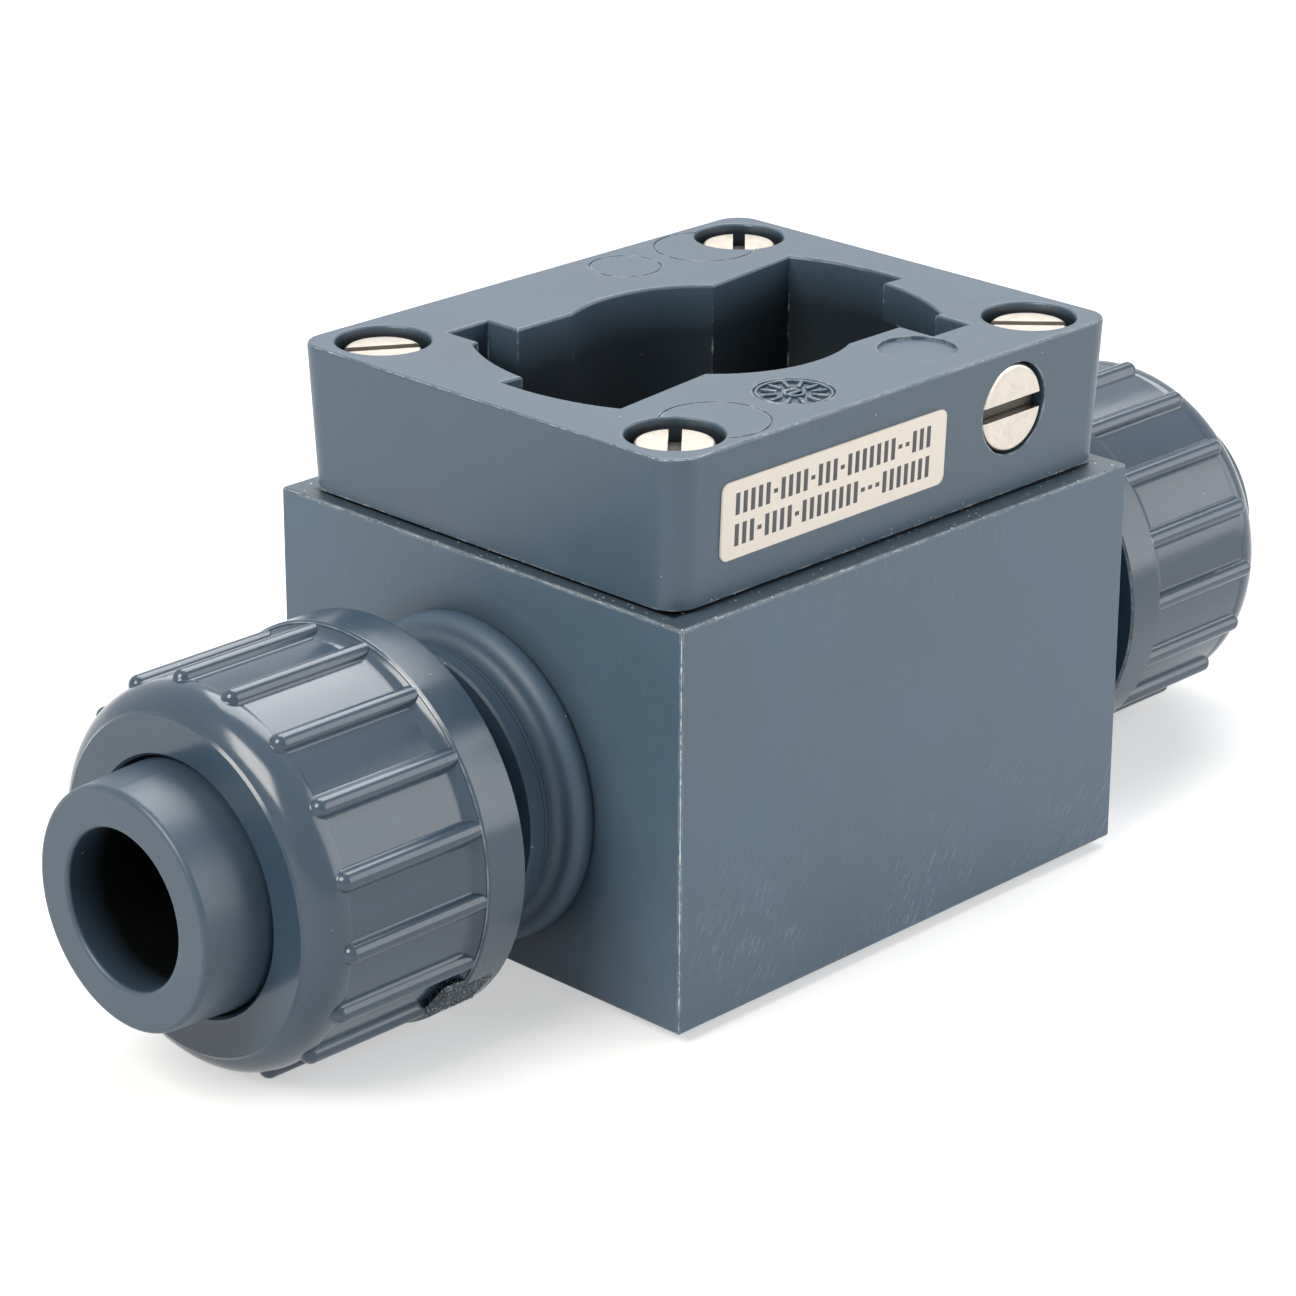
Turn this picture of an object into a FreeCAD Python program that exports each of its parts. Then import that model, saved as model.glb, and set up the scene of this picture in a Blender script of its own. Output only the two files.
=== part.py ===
"""Inline paddle-wheel flow meter in rigid PVC, sizes in millimetres.

The pipe runs along X. The origin is on the floor under the middle of the
fitting, where the two union nuts would touch a flat surface, and +Z is up.
The locking screw and the label are on the -Y side.
"""
import FreeCAD, Part
import math
import os

Vector = FreeCAD.Vector
X_AXIS = Vector(1, 0, 0)
Y_AXIS = Vector(0, 1, 0)
Z_AXIS = Vector(0, 0, 1)

# ---- fits and small features ----
seat_gap = 0.05          # between fixed round parts and their seats
running_gap = 0.04       # axle in its bearings, on the radius
thread_gap = 0.1         # between threads, which are plain at their pitch radius
edge_break = 0.2         # small chamfer that machined edges get
cut_margin = 1.0         # how far a cutting tool runs past a surface

# ---- base block ----
base_length = 50.5
base_width = 43.0
base_below_axis = 14.6
base_above_axis = 17.5
flow_bore_r = 4.0        # nominal size 8 passage

# ---- union bush, cemented into the block ----
spigot_r = 10.0
spigot_length = 7.5
bead_r = 11.75           # centre of the rounded bead at the block face
bead_section_r = 1.2
bead_stand_off = 0.8
bead_blend_r = 0.9       # from the bead into the neck
neck_r = 11.13
neck_length = 4.8
relief_r = 9.4
relief_length = 5.1
thread_r = 11.9          # external thread at its pitch radius
thread_length = 10.85
thread_chamfer = 0.7
face_seal_r = 7.6
face_seal_section_r = 0.7
face_seal_groove_depth = 1.5
face_seal_side_gap = 0.25

# ---- union nut ----
nut_length = 19.15
nut_collar_r = 15.5
nut_collar_width = 3.75
nut_step = 0.3
nut_cove_length = 1.15
nut_body_r = 14.6
nut_face_r = 13.0
nut_face_step = 0.2
nut_shoulder_length = 3.0
nut_shoulder_bulge = 0.62    # how far the round shoulder stands out from a cone
nut_wall = 4.0
nut_bore_r = 9.75
nut_entry_r = 13.0
nut_entry_depth = 1.0
rib_count = 17
rib_r = 0.78
rib_root_r = 0.35        # fillet between a rib and the nut's body
rib_root_sink = 0.03     # how far that fillet runs into the body
rib_front_setback = 3.1
nut_clocking = {"left": 37.2, "right": 137.6}   # angle of a rib on each nut

# ---- union end, the pipe socket ----
flange_r = 11.2
flange_thickness = 4.0
tube_r = 9.45
tube_mouth_r = 9.2
tube_length = 9.5
tube_edge_r = 0.45
socket_r = 6.05
socket_depth = 12.0
socket_edge_r = 0.35

# ---- sensor housing ----
gasket_thickness = 0.35
gasket_inset = 0.7
housing_length = 48.4
housing_width = 39.4
housing_height = 11.65
housing_draft = 2.2      # degrees, wider at the top
housing_corner_r = 2.3
housing_edge_r = 0.25
opening_centre_r = 11.15
opening_end_wall = 3.75      # from the end of a lug pocket to the housing's foot
opening_lip_reach = 1.95     # how far a lip covers its groove
opening_lip_thickness = 3.2
opening_lug_angle = -5.0
opening_flat_angle = 6.8
opening_flat_offset = 6.4
opening_lip_flat = 10.1
notch_width = 4.2
notch_depth = 13.45
notch_side_wall = 0.6        # from a notch to the end of its lip
opening_edge_r = 0.25
mark_depth = 0.25        # round recesses that mould inserts leave, with x, y and radius
mark_recesses = [(-6.8, -15.1, 3.08), (7.4, -14.75, 3.07)]
mark_ring_width = 0.14
mark_ring_depth = 0.1
mark_ring_r = 4.1        # a ring beside two of the screws
mark_ring_shift = 4.2
small_ring = (7.1, 16.1, 2.9)

# ---- cover screws and their inserts ----
screw_inset_x = 4.4      # from the foot of the housing to the screw's axis
screw_inset_y = 4.25
cover_bore_r = 3.68
cover_bore_edge_r = 0.2
head_depth = 0.6
head_r = 3.0
head_height = 2.4
head_round = 0.35
slot_width = 1.0
slot_depth = 1.1
screw_r = 1.7
screw_length = 16.0
screw_hole_r = 2.0
insert_r = 2.6
insert_length = 6.0
insert_hole_extra = 3.2
slot_angles = {"front_left": 43, "front_right": -47, "back_left": -33, "back_right": 43}

# ---- locking screw in the side of the housing ----
lock_height = 7.2        # above the top of the base block
lock_bore_r = 3.68
lock_bore_depth = 2.3
lock_head_r = 3.5
lock_head_height = 1.8
lock_slot_width = 1.2
lock_slot_depth = 1.0
lock_washer_r = 3.3
lock_washer_thickness = 0.4
lock_screw_r = 1.9
lock_tip_reach = 1.9
screw_tip_chamfer = 0.5
lock_insert_r = 2.7

# ---- label ----
label_height = 6.0
label_thickness = 0.15
label_corner_r = 0.7
label_inset = 4.5            # from the foot of the housing
label_lock_gap = 4.42        # from the bore of the locking screw
label_centre_height = 6.2    # above the top of the base block

# ---- paddle wheel and its holder ----
holder_r = 10.45
holder_flange_width = 2.05
holder_flange_thickness = 2.0
wheel_rise = 4.5         # axle above the pipe axis
wheel_r = 7.6
wheel_gap = 0.6          # around the wheel's rim
wheel_floor_gap = 1.25   # under the wheel
wheel_side_gap = 0.4
wheel_width = 6.2
hub_r = 2.3
paddle_count = 4
paddle_thickness = 1.5
paddle_bulb_r = 1.55
magnet_r = 1.0
magnet_length = 4.0
axle_r = 0.75
axle_end_gap = 0.3
bearing_r = 1.6
bearing_depth = 3.0      # how far the axle's end goes in
bearing_recess = 0.5     # its back below the side of the holder
well_r = 8.5
well_floor = 1.3
holder_seal_rise = 11.6  # above the pipe axis
holder_seal_section_r = 0.6
holder_seal_depth = 1.25
holder_seal_side_gap = 0.15

# ---- places that follow from the sizes ----
axis_z = nut_collar_r
base_top = axis_z + base_above_axis
base_bottom = axis_z - base_below_axis
block_face = base_length / 2
thread_start = block_face + neck_length + relief_length
bush_end = thread_start + thread_length
nut_ledge = bush_end + flange_thickness
nut_front = nut_ledge + nut_wall
nut_rear = nut_front - nut_length
socket_mouth = nut_ledge + tube_length
housing_bottom = base_top + gasket_thickness
housing_top = housing_bottom + housing_height
screw_x = housing_length / 2 - screw_inset_x
screw_y = housing_width / 2 - screw_inset_y
opening_lug_r = housing_length / 2 - opening_end_wall
opening_lip_r = opening_lug_r - opening_lip_reach
lip_corner_x = math.sqrt(opening_lip_r ** 2 - opening_lip_flat ** 2)
lock_x = lip_corner_x - notch_side_wall - notch_width / 2
label_left = label_inset - housing_length / 2
label_right = lock_x - lock_bore_r - label_lock_gap
housing_spread = housing_height * math.tan(math.radians(housing_draft))
lock_z = base_top + lock_height
lock_face = housing_width / 2 + (lock_z - housing_bottom) * math.tan(math.radians(housing_draft))
wheel_z = axis_z + wheel_rise
holder_bottom = wheel_z - wheel_r - wheel_floor_gap
holder_flange_r = holder_r + holder_flange_width
holder_shoulder = base_top - holder_flange_thickness
slot_half = wheel_width / 2 + wheel_side_gap
slot_r = wheel_r + wheel_gap
bulb_r_at = wheel_r - paddle_bulb_r


def cylinder(radius, length, start, direction):
    return Part.makeCylinder(radius, length, start, direction)


def box(x0, x1, y0, y1, z0, z1):
    return Part.makeBox(x1 - x0, y1 - y0, z1 - z0, Vector(x0, y0, z0))


def prism(points, z0, z1):
    """A flat outline of (x, y) points, pulled up from z0 to z1."""
    corners = [Vector(x, y, z0) for x, y in points]
    face = Part.Face(Part.makePolygon(corners + corners[:1]))
    return face.extrude(Vector(0, 0, z1 - z0))


def turned(start, *steps):
    """A solid of revolution about the pipe axis.

    Points are (x, radius). A step is the next point, or a pair of points for
    an arc through the first to the second.
    """
    def place(point):
        return Vector(point[0], 0, axis_z + point[1])

    edges = []
    here = start
    for step in steps + (start,):
        if isinstance(step[0], tuple):
            middle, end = step
            edges.append(Part.Arc(place(here), place(middle), place(end)).toShape())
        else:
            end = step
            edges.append(Part.LineSegment(place(here), place(end)).toShape())
        here = end
    face = Part.Face(Part.Wire(edges))
    return face.revolve(Vector(0, 0, axis_z), X_AXIS, 360)


def arc_middle(start, end, bulge):
    """The middle of an arc from start to end that stands out by bulge on its left."""
    dx = end[0] - start[0]
    dy = end[1] - start[1]
    length = math.hypot(dx, dy)
    return ((start[0] + end[0]) / 2 - dy / length * bulge,
            (start[1] + end[1]) / 2 + dx / length * bulge)


def on_side(shape, side):
    """Parts are drawn at the +X end and turned half round for the left one."""
    placed = shape.copy()
    if side == "left":
        placed.rotate(Vector(0, 0, 0), Z_AXIS, 180)
    return placed


def rounded_rectangle(length, width, radius, z):
    x = length / 2
    y = width / 2
    inner_x = x - radius
    inner_y = y - radius
    corner = radius * math.sqrt(0.5)
    edges = []
    for sx, sy in ((1, 1), (-1, 1), (-1, -1), (1, -1)):
        on_x = Vector(sx * x, sy * inner_y, z)
        on_y = Vector(sx * inner_x, sy * y, z)
        middle = Vector(sx * (inner_x + corner), sy * (inner_y + corner), z)
        first, last = (on_x, on_y) if sx * sy > 0 else (on_y, on_x)
        edges.append(Part.Arc(first, middle, last).toShape())
    wire_edges = []
    for i, edge in enumerate(edges):
        wire_edges.append(edge)
        start = edge.Vertexes[-1].Point
        end = edges[(i + 1) % len(edges)].Vertexes[0].Point
        wire_edges.append(Part.LineSegment(start, end).toShape())
    return Part.Wire(Part.__sortEdges__(wire_edges))


def edges_at(shape, test):
    return [edge for edge in shape.Edges if test(edge)]


def screw_places():
    """The four cover screws by name, with their centres."""
    places = {}
    for name in slot_angles:
        front, side = name.split("_")
        x = screw_x * (1 if side == "right" else -1)
        y = screw_y * (1 if front == "back" else -1)
        places[name] = (x, y)
    return places


# ---- base block ----
def base_block():
    block = box(-base_length / 2, base_length / 2, -base_width / 2, base_width / 2,
                base_bottom, base_top)
    block = block.makeChamfer(edge_break, block.Edges)
    cuts = [cylinder(flow_bore_r, base_length, Vector(-block_face, 0, axis_z), X_AXIS)]
    for side in ("left", "right"):
        seat = cylinder(spigot_r + seat_gap, spigot_length + seat_gap + cut_margin,
                        Vector(block_face - spigot_length - seat_gap, 0, axis_z), X_AXIS)
        cuts.append(on_side(seat, side))
    cuts.append(cylinder(holder_r + seat_gap, base_top - holder_bottom + cut_margin,
                         Vector(0, 0, holder_bottom), Z_AXIS))
    cuts.append(cylinder(holder_flange_r + seat_gap, holder_flange_thickness + cut_margin,
                         Vector(0, 0, holder_shoulder), Z_AXIS))
    for x, y in screw_places().values():
        cuts.append(cylinder(insert_r + seat_gap, insert_length + cut_margin,
                             Vector(x, y, base_top - insert_length), Z_AXIS))
        depth = insert_length + insert_hole_extra
        cuts.append(cylinder(screw_hole_r, depth + cut_margin,
                             Vector(x, y, base_top - depth), Z_AXIS))
    return block.cut(cuts)


# ---- unions ----
def union_bush():
    centre = block_face + bead_stand_off
    at_block = (block_face, bead_r + math.sqrt(bead_section_r ** 2 - bead_stand_off ** 2))
    blend_r = neck_r + bead_blend_r
    reach = math.sqrt((bead_section_r + bead_blend_r) ** 2 - (blend_r - bead_r) ** 2)
    share = bead_section_r / (bead_section_r + bead_blend_r)
    meet = (centre + reach * share, bead_r + (blend_r - bead_r) * share)
    neck_start = (centre + reach, neck_r)
    half = math.dist(meet, neck_start) / 2
    dip = bead_blend_r - math.sqrt(bead_blend_r ** 2 - half ** 2)
    neck_end = block_face + neck_length
    body = turned(
        (block_face - spigot_length, flow_bore_r),
        (block_face - spigot_length, spigot_r - edge_break),
        (block_face - spigot_length + edge_break, spigot_r),
        (block_face, spigot_r),
        at_block,
        ((centre, bead_r + bead_section_r), meet),
        (arc_middle(meet, neck_start, -dip), neck_start),
        (neck_end - edge_break, neck_r),
        (neck_end, neck_r - edge_break),
        (neck_end, relief_r),
        (thread_start, relief_r),
        (thread_start + thread_chamfer, thread_r),
        (bush_end - thread_chamfer, thread_r),
        (bush_end, thread_r - thread_chamfer),
        (bush_end, flow_bore_r))
    inner = face_seal_r - face_seal_section_r - face_seal_side_gap
    outer = face_seal_r + face_seal_section_r + face_seal_side_gap
    groove = turned((bush_end - face_seal_groove_depth, inner),
                    (bush_end - face_seal_groove_depth, outer),
                    (bush_end + cut_margin, outer),
                    (bush_end + cut_margin, inner))
    return body.cut(groove)


def face_seal():
    centre = bush_end - face_seal_groove_depth + face_seal_section_r
    return Part.makeTorus(face_seal_r, face_seal_section_r, Vector(centre, 0, axis_z), X_AXIS)


def rib_half(x):
    """Half of a grip rib's section at x, standing on top of the nut: a round crest,
    a fillet at its root and a foot inside the nut's wall."""
    body = nut_body_r
    rise = rib_root_r - rib_r * (rib_r + 2 * rib_root_r) / (2 * body) - rib_root_sink
    out = math.sqrt((rib_r + rib_root_r) ** 2 - rise ** 2)
    share = rib_r / (rib_r + rib_root_r)
    reach = math.hypot(out, rise + body)
    crest = (0, rib_r)
    root = (out * share, rise * share)
    foot = (out * (1 - rib_root_r / reach), (rise + body) * (1 - rib_root_r / reach) - body)
    side = math.atan2(root[0], root[1]) / 2
    crest_middle = (rib_r * math.sin(side), rib_r * math.cos(side))
    chord = math.dist(root, foot) / 2
    bulge = rib_root_r - math.sqrt(rib_root_r ** 2 - chord ** 2)
    root_middle = arc_middle(root, foot, -bulge)

    def place(point):
        return Vector(x, point[0], axis_z + body + point[1])

    inside = -nut_step
    corners = [place(foot), place((foot[0], inside)), place((0, inside)), place(crest)]
    edges = [Part.Arc(place(crest), place(crest_middle), place(root)).toShape(),
             Part.Arc(place(root), place(root_middle), place(foot)).toShape()]
    edges += [Part.LineSegment(a, b).toShape() for a, b in zip(corners, corners[1:])]
    return Part.Face(Part.Wire(edges))


def nut_rib(angle):
    """A half-round grip rib with a rounded front end."""
    start = nut_rear + nut_collar_width - edge_break
    end = nut_front - rib_front_setback
    half = rib_half(start).extrude(X_AXIS * (end - start))
    other = half.mirror(Vector(0, 0, 0), Y_AXIS)
    tip = rib_half(end).revolve(Vector(end, 0, axis_z), Z_AXIS, -180)
    rib = half.fuse([other, tip]).removeSplitter()
    rib.rotate(Vector(0, 0, axis_z), X_AXIS, angle - 90)
    return rib


def union_nut(side):
    collar_end = nut_rear + nut_collar_width
    shoulder_start = (nut_front - nut_face_step - nut_shoulder_length, nut_body_r)
    shoulder_end = (nut_front - nut_face_step, nut_face_r)
    cove_start = (collar_end, nut_collar_r - nut_step)
    cove_end = (collar_end + nut_cove_length, nut_body_r)
    thread_bore_r = thread_r + thread_gap
    entry_end = nut_rear + nut_entry_depth
    lead_in = nut_entry_r - thread_bore_r
    body = turned(
        (nut_rear, nut_entry_r + edge_break),
        (nut_rear, nut_collar_r - edge_break),
        (nut_rear + edge_break, nut_collar_r),
        (collar_end - edge_break, nut_collar_r),
        (collar_end, nut_collar_r - edge_break),
        cove_start,
        (arc_middle(cove_start, cove_end, -nut_step / 2), cove_end),
        shoulder_start,
        (arc_middle(shoulder_start, shoulder_end, nut_shoulder_bulge), shoulder_end),
        (nut_front, nut_face_r - nut_face_step),
        (nut_front, nut_bore_r + edge_break),
        (nut_front - edge_break, nut_bore_r),
        (nut_ledge, nut_bore_r),
        (nut_ledge, thread_bore_r),
        (entry_end + lead_in, thread_bore_r),
        (entry_end, nut_entry_r),
        (nut_rear + edge_break, nut_entry_r))
    pitch = 360.0 / rib_count
    ribs = [nut_rib(nut_clocking[side] + i * pitch) for i in range(rib_count)]
    return body.fuse(ribs).removeSplitter()


def union_end():
    corner = math.sqrt(0.5)
    tube_corner = (socket_mouth - tube_edge_r, tube_mouth_r - tube_edge_r)
    mouth_corner = (socket_mouth - socket_edge_r, socket_r + socket_edge_r)
    return turned(
        (bush_end, flow_bore_r),
        (bush_end, flange_r - edge_break),
        (bush_end + edge_break, flange_r),
        (nut_ledge - edge_break, flange_r),
        (nut_ledge, flange_r - edge_break),
        (nut_ledge, tube_r),
        (nut_front, tube_r),
        (socket_mouth - tube_edge_r, tube_mouth_r),
        ((tube_corner[0] + tube_edge_r * corner, tube_corner[1] + tube_edge_r * corner),
         (socket_mouth, tube_corner[1])),
        (socket_mouth, mouth_corner[1]),
        ((mouth_corner[0] + socket_edge_r * corner, mouth_corner[1] - socket_edge_r * corner),
         (mouth_corner[0], socket_r)),
        (socket_mouth - socket_depth, socket_r),
        (socket_mouth - socket_depth, flow_bore_r))


# ---- sensor housing ----
def bayonet_space(z0, z1, lip_r):
    """The opening's outline as a solid: a round middle and, at each end, a wide
    pocket that lets a lug in and a narrower one that the lug turns into."""
    far = opening_lug_r + cut_margin
    start = math.radians(opening_lug_angle)
    slope = math.radians(opening_flat_angle)
    flat_at_middle = opening_flat_offset / math.cos(slope)
    flat_at_far = flat_at_middle + far * math.tan(slope)
    ray = (far, far * math.tan(start))
    height = z1 - z0
    lug_pocket = prism([(0, 0), ray, (far, flat_at_far), (0, flat_at_middle)], z0, z1)
    lug_pocket = lug_pocket.common(cylinder(opening_lug_r, height, Vector(0, 0, z0), Z_AXIS))
    lip_pocket = prism([(0, 0), (0, -opening_lip_flat), (far, -opening_lip_flat), ray], z0, z1)
    lip_pocket = lip_pocket.common(cylinder(lip_r, height, Vector(0, 0, z0), Z_AXIS))
    notch = box(lock_x - notch_width / 2, lock_x + notch_width / 2,
                -notch_depth, -opening_lip_flat + cut_margin, z0, z1)
    half = lug_pocket.fuse([lip_pocket, notch])
    other = half.copy()
    other.rotate(Vector(0, 0, 0), Z_AXIS, 180)
    middle = cylinder(opening_centre_r, height, Vector(0, 0, z0), Z_AXIS)
    return middle.fuse([half, other]).removeSplitter()


def mark_ring(x, y, radius):
    """The shallow ring that a moulding pin leaves."""
    start = Vector(x, y, housing_top - mark_ring_depth)
    height = mark_ring_depth + cut_margin
    outer = cylinder(radius + mark_ring_width / 2, height, start, Z_AXIS)
    return outer.cut(cylinder(radius - mark_ring_width / 2, height, start, Z_AXIS))


def sensor_housing():
    lower = rounded_rectangle(housing_length, housing_width, housing_corner_r, housing_bottom)
    upper = rounded_rectangle(housing_length + 2 * housing_spread,
                              housing_width + 2 * housing_spread,
                              housing_corner_r, housing_top)
    shell = Part.makeLoft([lower, upper], True, True)
    rim = edges_at(shell, lambda e: e.BoundBox.ZMin > housing_top - 0.01)
    shell = shell.makeFillet(housing_edge_r, rim)
    lip_bottom = housing_top - opening_lip_thickness
    shell = shell.cut(bayonet_space(lip_bottom, housing_top + cut_margin, opening_lip_r))
    shell = shell.cut(bayonet_space(housing_bottom - cut_margin, lip_bottom, opening_lug_r))
    shell = shell.makeFillet(opening_edge_r, edges_at(shell, is_opening_rim))
    for x, y in screw_places().values():
        seat = housing_top - head_depth - head_height
        bore = cylinder(cover_bore_r, housing_top - seat + cut_margin, Vector(x, y, seat), Z_AXIS)
        hole = cylinder(screw_hole_r, housing_height + 2 * cut_margin,
                        Vector(x, y, housing_bottom - cut_margin), Z_AXIS)
        shell = shell.cut([bore, hole])
    rims = edges_at(shell, is_cover_rim)
    shell = shell.makeFillet(cover_bore_edge_r, rims)
    marks = [mark_ring(mark_ring_shift - screw_x, -screw_y, mark_ring_r),
             mark_ring(screw_x - mark_ring_shift, screw_y, mark_ring_r),
             mark_ring(*small_ring)]
    for x, y, radius in mark_recesses:
        marks.append(cylinder(radius, mark_depth + cut_margin,
                              Vector(x, y, housing_top - mark_depth), Z_AXIS))
    shell = shell.cut(marks)
    bore = cylinder(lock_bore_r, lock_bore_depth + cut_margin,
                    Vector(lock_x, -lock_face + lock_bore_depth, lock_z), -Y_AXIS)
    hole = cylinder(lock_insert_r + seat_gap, lock_face - notch_depth,
                    Vector(lock_x, -lock_face, lock_z), Y_AXIS)
    way_out = cylinder(lock_screw_r + seat_gap, cut_margin,
                       Vector(lock_x, -notch_depth, lock_z), Y_AXIS)
    return shell.cut([bore, hole, way_out])


def is_opening_rim(edge):
    """True for the top edges of the bayonet opening, which lie inside the housing's own."""
    box = edge.BoundBox
    inside_x = max(-box.XMin, box.XMax) < housing_length / 2 - housing_corner_r / 2
    inside_y = max(-box.YMin, box.YMax) < housing_width / 2 - housing_corner_r / 2
    return box.ZMin > housing_top - 0.01 and inside_x and inside_y


def is_cover_rim(edge):
    """True for the top rim of a cover screw's counterbore."""
    curve = edge.Curve
    on_top = edge.BoundBox.ZMin > housing_top - 0.01
    return on_top and isinstance(curve, Part.Circle) and abs(curve.Radius - cover_bore_r) < 0.01


def housing_gasket():
    outline = Part.Face(rounded_rectangle(housing_length - 2 * gasket_inset,
                                          housing_width - 2 * gasket_inset,
                                          housing_corner_r, base_top))
    sheet = outline.extrude(Vector(0, 0, gasket_thickness))
    sheet = sheet.cut(bayonet_space(base_top - cut_margin, housing_bottom + cut_margin,
                                    opening_lug_r))
    holes = [cylinder(screw_hole_r, gasket_thickness + 2 * cut_margin,
                      Vector(x, y, base_top - cut_margin), Z_AXIS)
             for x, y in screw_places().values()]
    return sheet.cut(holes)


# ---- fasteners ----
def slotted_screw(radius, length, big_r, big_height, round_r, width, depth, angle):
    """A cheese-head screw standing on the origin plane under its head, head up."""
    head = cylinder(big_r, big_height, Vector(0, 0, 0), Z_AXIS)
    rim = edges_at(head, lambda e: e.BoundBox.ZMin > big_height - 0.01)
    head = head.makeFillet(round_r, rim)
    slot = box(-big_r - cut_margin, big_r + cut_margin, -width / 2, width / 2,
               big_height - depth, big_height + cut_margin)
    slot.rotate(Vector(0, 0, 0), Z_AXIS, angle)
    shank = cylinder(radius, length, Vector(0, 0, -length), Z_AXIS)
    tip = edges_at(shank, lambda e: e.BoundBox.ZMax < -length + 0.01)
    shank = shank.makeChamfer(screw_tip_chamfer, tip)
    return head.cut(slot).fuse(shank)


def cover_screws():
    solids = []
    for name, (x, y) in screw_places().items():
        screw = slotted_screw(screw_r, screw_length, head_r, head_height, head_round,
                              slot_width, slot_depth, slot_angles[name])
        screw.translate(Vector(x, y, housing_top - head_depth - head_height))
        solids.append(screw)
    return Part.makeCompound(solids)


def screw_inserts():
    solids = []
    for x, y in screw_places().values():
        start = Vector(x, y, base_top - insert_length)
        sleeve = cylinder(insert_r, insert_length, start, Z_AXIS)
        bore = cylinder(screw_r + seat_gap, insert_length, start, Z_AXIS)
        solids.append(sleeve.cut(bore))
    return Part.makeCompound(solids)


def lock_screw():
    under_head = lock_face - lock_bore_depth + lock_washer_thickness
    reach = under_head - notch_depth + lock_tip_reach
    screw = slotted_screw(lock_screw_r, reach, lock_head_r, lock_head_height, head_round,
                          lock_slot_width, lock_slot_depth, 0)
    screw.rotate(Vector(0, 0, 0), X_AXIS, 90)
    screw.translate(Vector(lock_x, -under_head, lock_z))
    return screw


def lock_washer():
    start = Vector(lock_x, -lock_face + lock_bore_depth, lock_z)
    ring = cylinder(lock_washer_r, lock_washer_thickness, start, -Y_AXIS)
    return ring.cut(cylinder(lock_screw_r + seat_gap, lock_washer_thickness, start, -Y_AXIS))


def lock_insert():
    start = Vector(lock_x, -notch_depth, lock_z)
    length = lock_face - lock_bore_depth - notch_depth
    sleeve = cylinder(lock_insert_r, length, start, -Y_AXIS)
    return sleeve.cut(cylinder(lock_screw_r + seat_gap, length, start, -Y_AXIS))


def label():
    """A thin plate that lies on the sloping front of the housing."""
    height = label_centre_height - gasket_thickness
    length = label_right - label_left
    outline = Part.Face(rounded_rectangle(length, label_height, label_corner_r, 0))
    plate = outline.extrude(Vector(0, 0, label_thickness))
    plate.rotate(Vector(0, 0, 0), X_AXIS, 90 + housing_draft)
    y = -housing_width / 2 - height * math.tan(math.radians(housing_draft))
    plate.translate(Vector((label_left + label_right) / 2, y, housing_bottom + height))
    return plate


# ---- paddle wheel and its holder ----
def wheel_holder():
    body = cylinder(holder_r, holder_shoulder - holder_bottom, Vector(0, 0, holder_bottom), Z_AXIS)
    flange = cylinder(holder_flange_r, holder_flange_thickness,
                      Vector(0, 0, holder_shoulder), Z_AXIS)
    body = body.fuse(flange)
    wheel_space = cylinder(slot_r, 2 * slot_half, Vector(0, -slot_half, wheel_z), Y_AXIS)
    way_in = box(-slot_r, slot_r, -slot_half, slot_half, holder_bottom - cut_margin, wheel_z)
    passage = cylinder(flow_bore_r, 2 * holder_flange_r, Vector(-holder_flange_r, 0, axis_z), X_AXIS)
    axle_hole = cylinder(bearing_r + seat_gap, 2 * holder_flange_r,
                         Vector(0, -holder_flange_r, wheel_z), Y_AXIS)
    well_bottom = wheel_z + slot_r + well_floor
    well = cylinder(well_r, base_top - well_bottom + cut_margin, Vector(0, 0, well_bottom), Z_AXIS)
    groove_half = holder_seal_section_r + holder_seal_side_gap
    groove_z = axis_z + holder_seal_rise - groove_half
    groove = cylinder(holder_r + cut_margin, 2 * groove_half, Vector(0, 0, groove_z), Z_AXIS)
    groove = groove.cut(cylinder(holder_r - holder_seal_depth, 2 * groove_half,
                                 Vector(0, 0, groove_z), Z_AXIS))
    return body.cut([wheel_space, way_in, passage, axle_hole, well, groove])


def holder_seal():
    major = holder_r - holder_seal_depth + holder_seal_section_r
    return Part.makeTorus(major, holder_seal_section_r,
                          Vector(0, 0, axis_z + holder_seal_rise), Z_AXIS)


def bearing(facing):
    """A cup for one end of the axle, open towards the wheel."""
    mouth = Vector(0, 0, wheel_z) - facing * slot_half
    cup = cylinder(bearing_r, holder_r - bearing_recess - slot_half, mouth, -facing)
    return cup.cut(cylinder(axle_r + running_gap, bearing_depth, mouth, -facing))


def wheel_axle():
    half = slot_half + bearing_depth - axle_end_gap
    axle = cylinder(axle_r, 2 * half, Vector(0, -half, wheel_z), Y_AXIS)
    return axle.makeChamfer(edge_break, edges_at(axle, lambda e: isinstance(e.Curve, Part.Circle)))


def paddle_angles():
    return [45 + i * 360.0 / paddle_count for i in range(paddle_count)]


def turned_about_axle(shape, angle):
    shape.rotate(Vector(0, 0, wheel_z), Y_AXIS, angle)
    return shape


def magnet_space(angle, radius, start):
    magnet = cylinder(radius, magnet_length, Vector(bulb_r_at, start, wheel_z), Y_AXIS)
    return turned_about_axle(magnet, angle)


def magnet_start():
    return wheel_width / 2 - magnet_length


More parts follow.
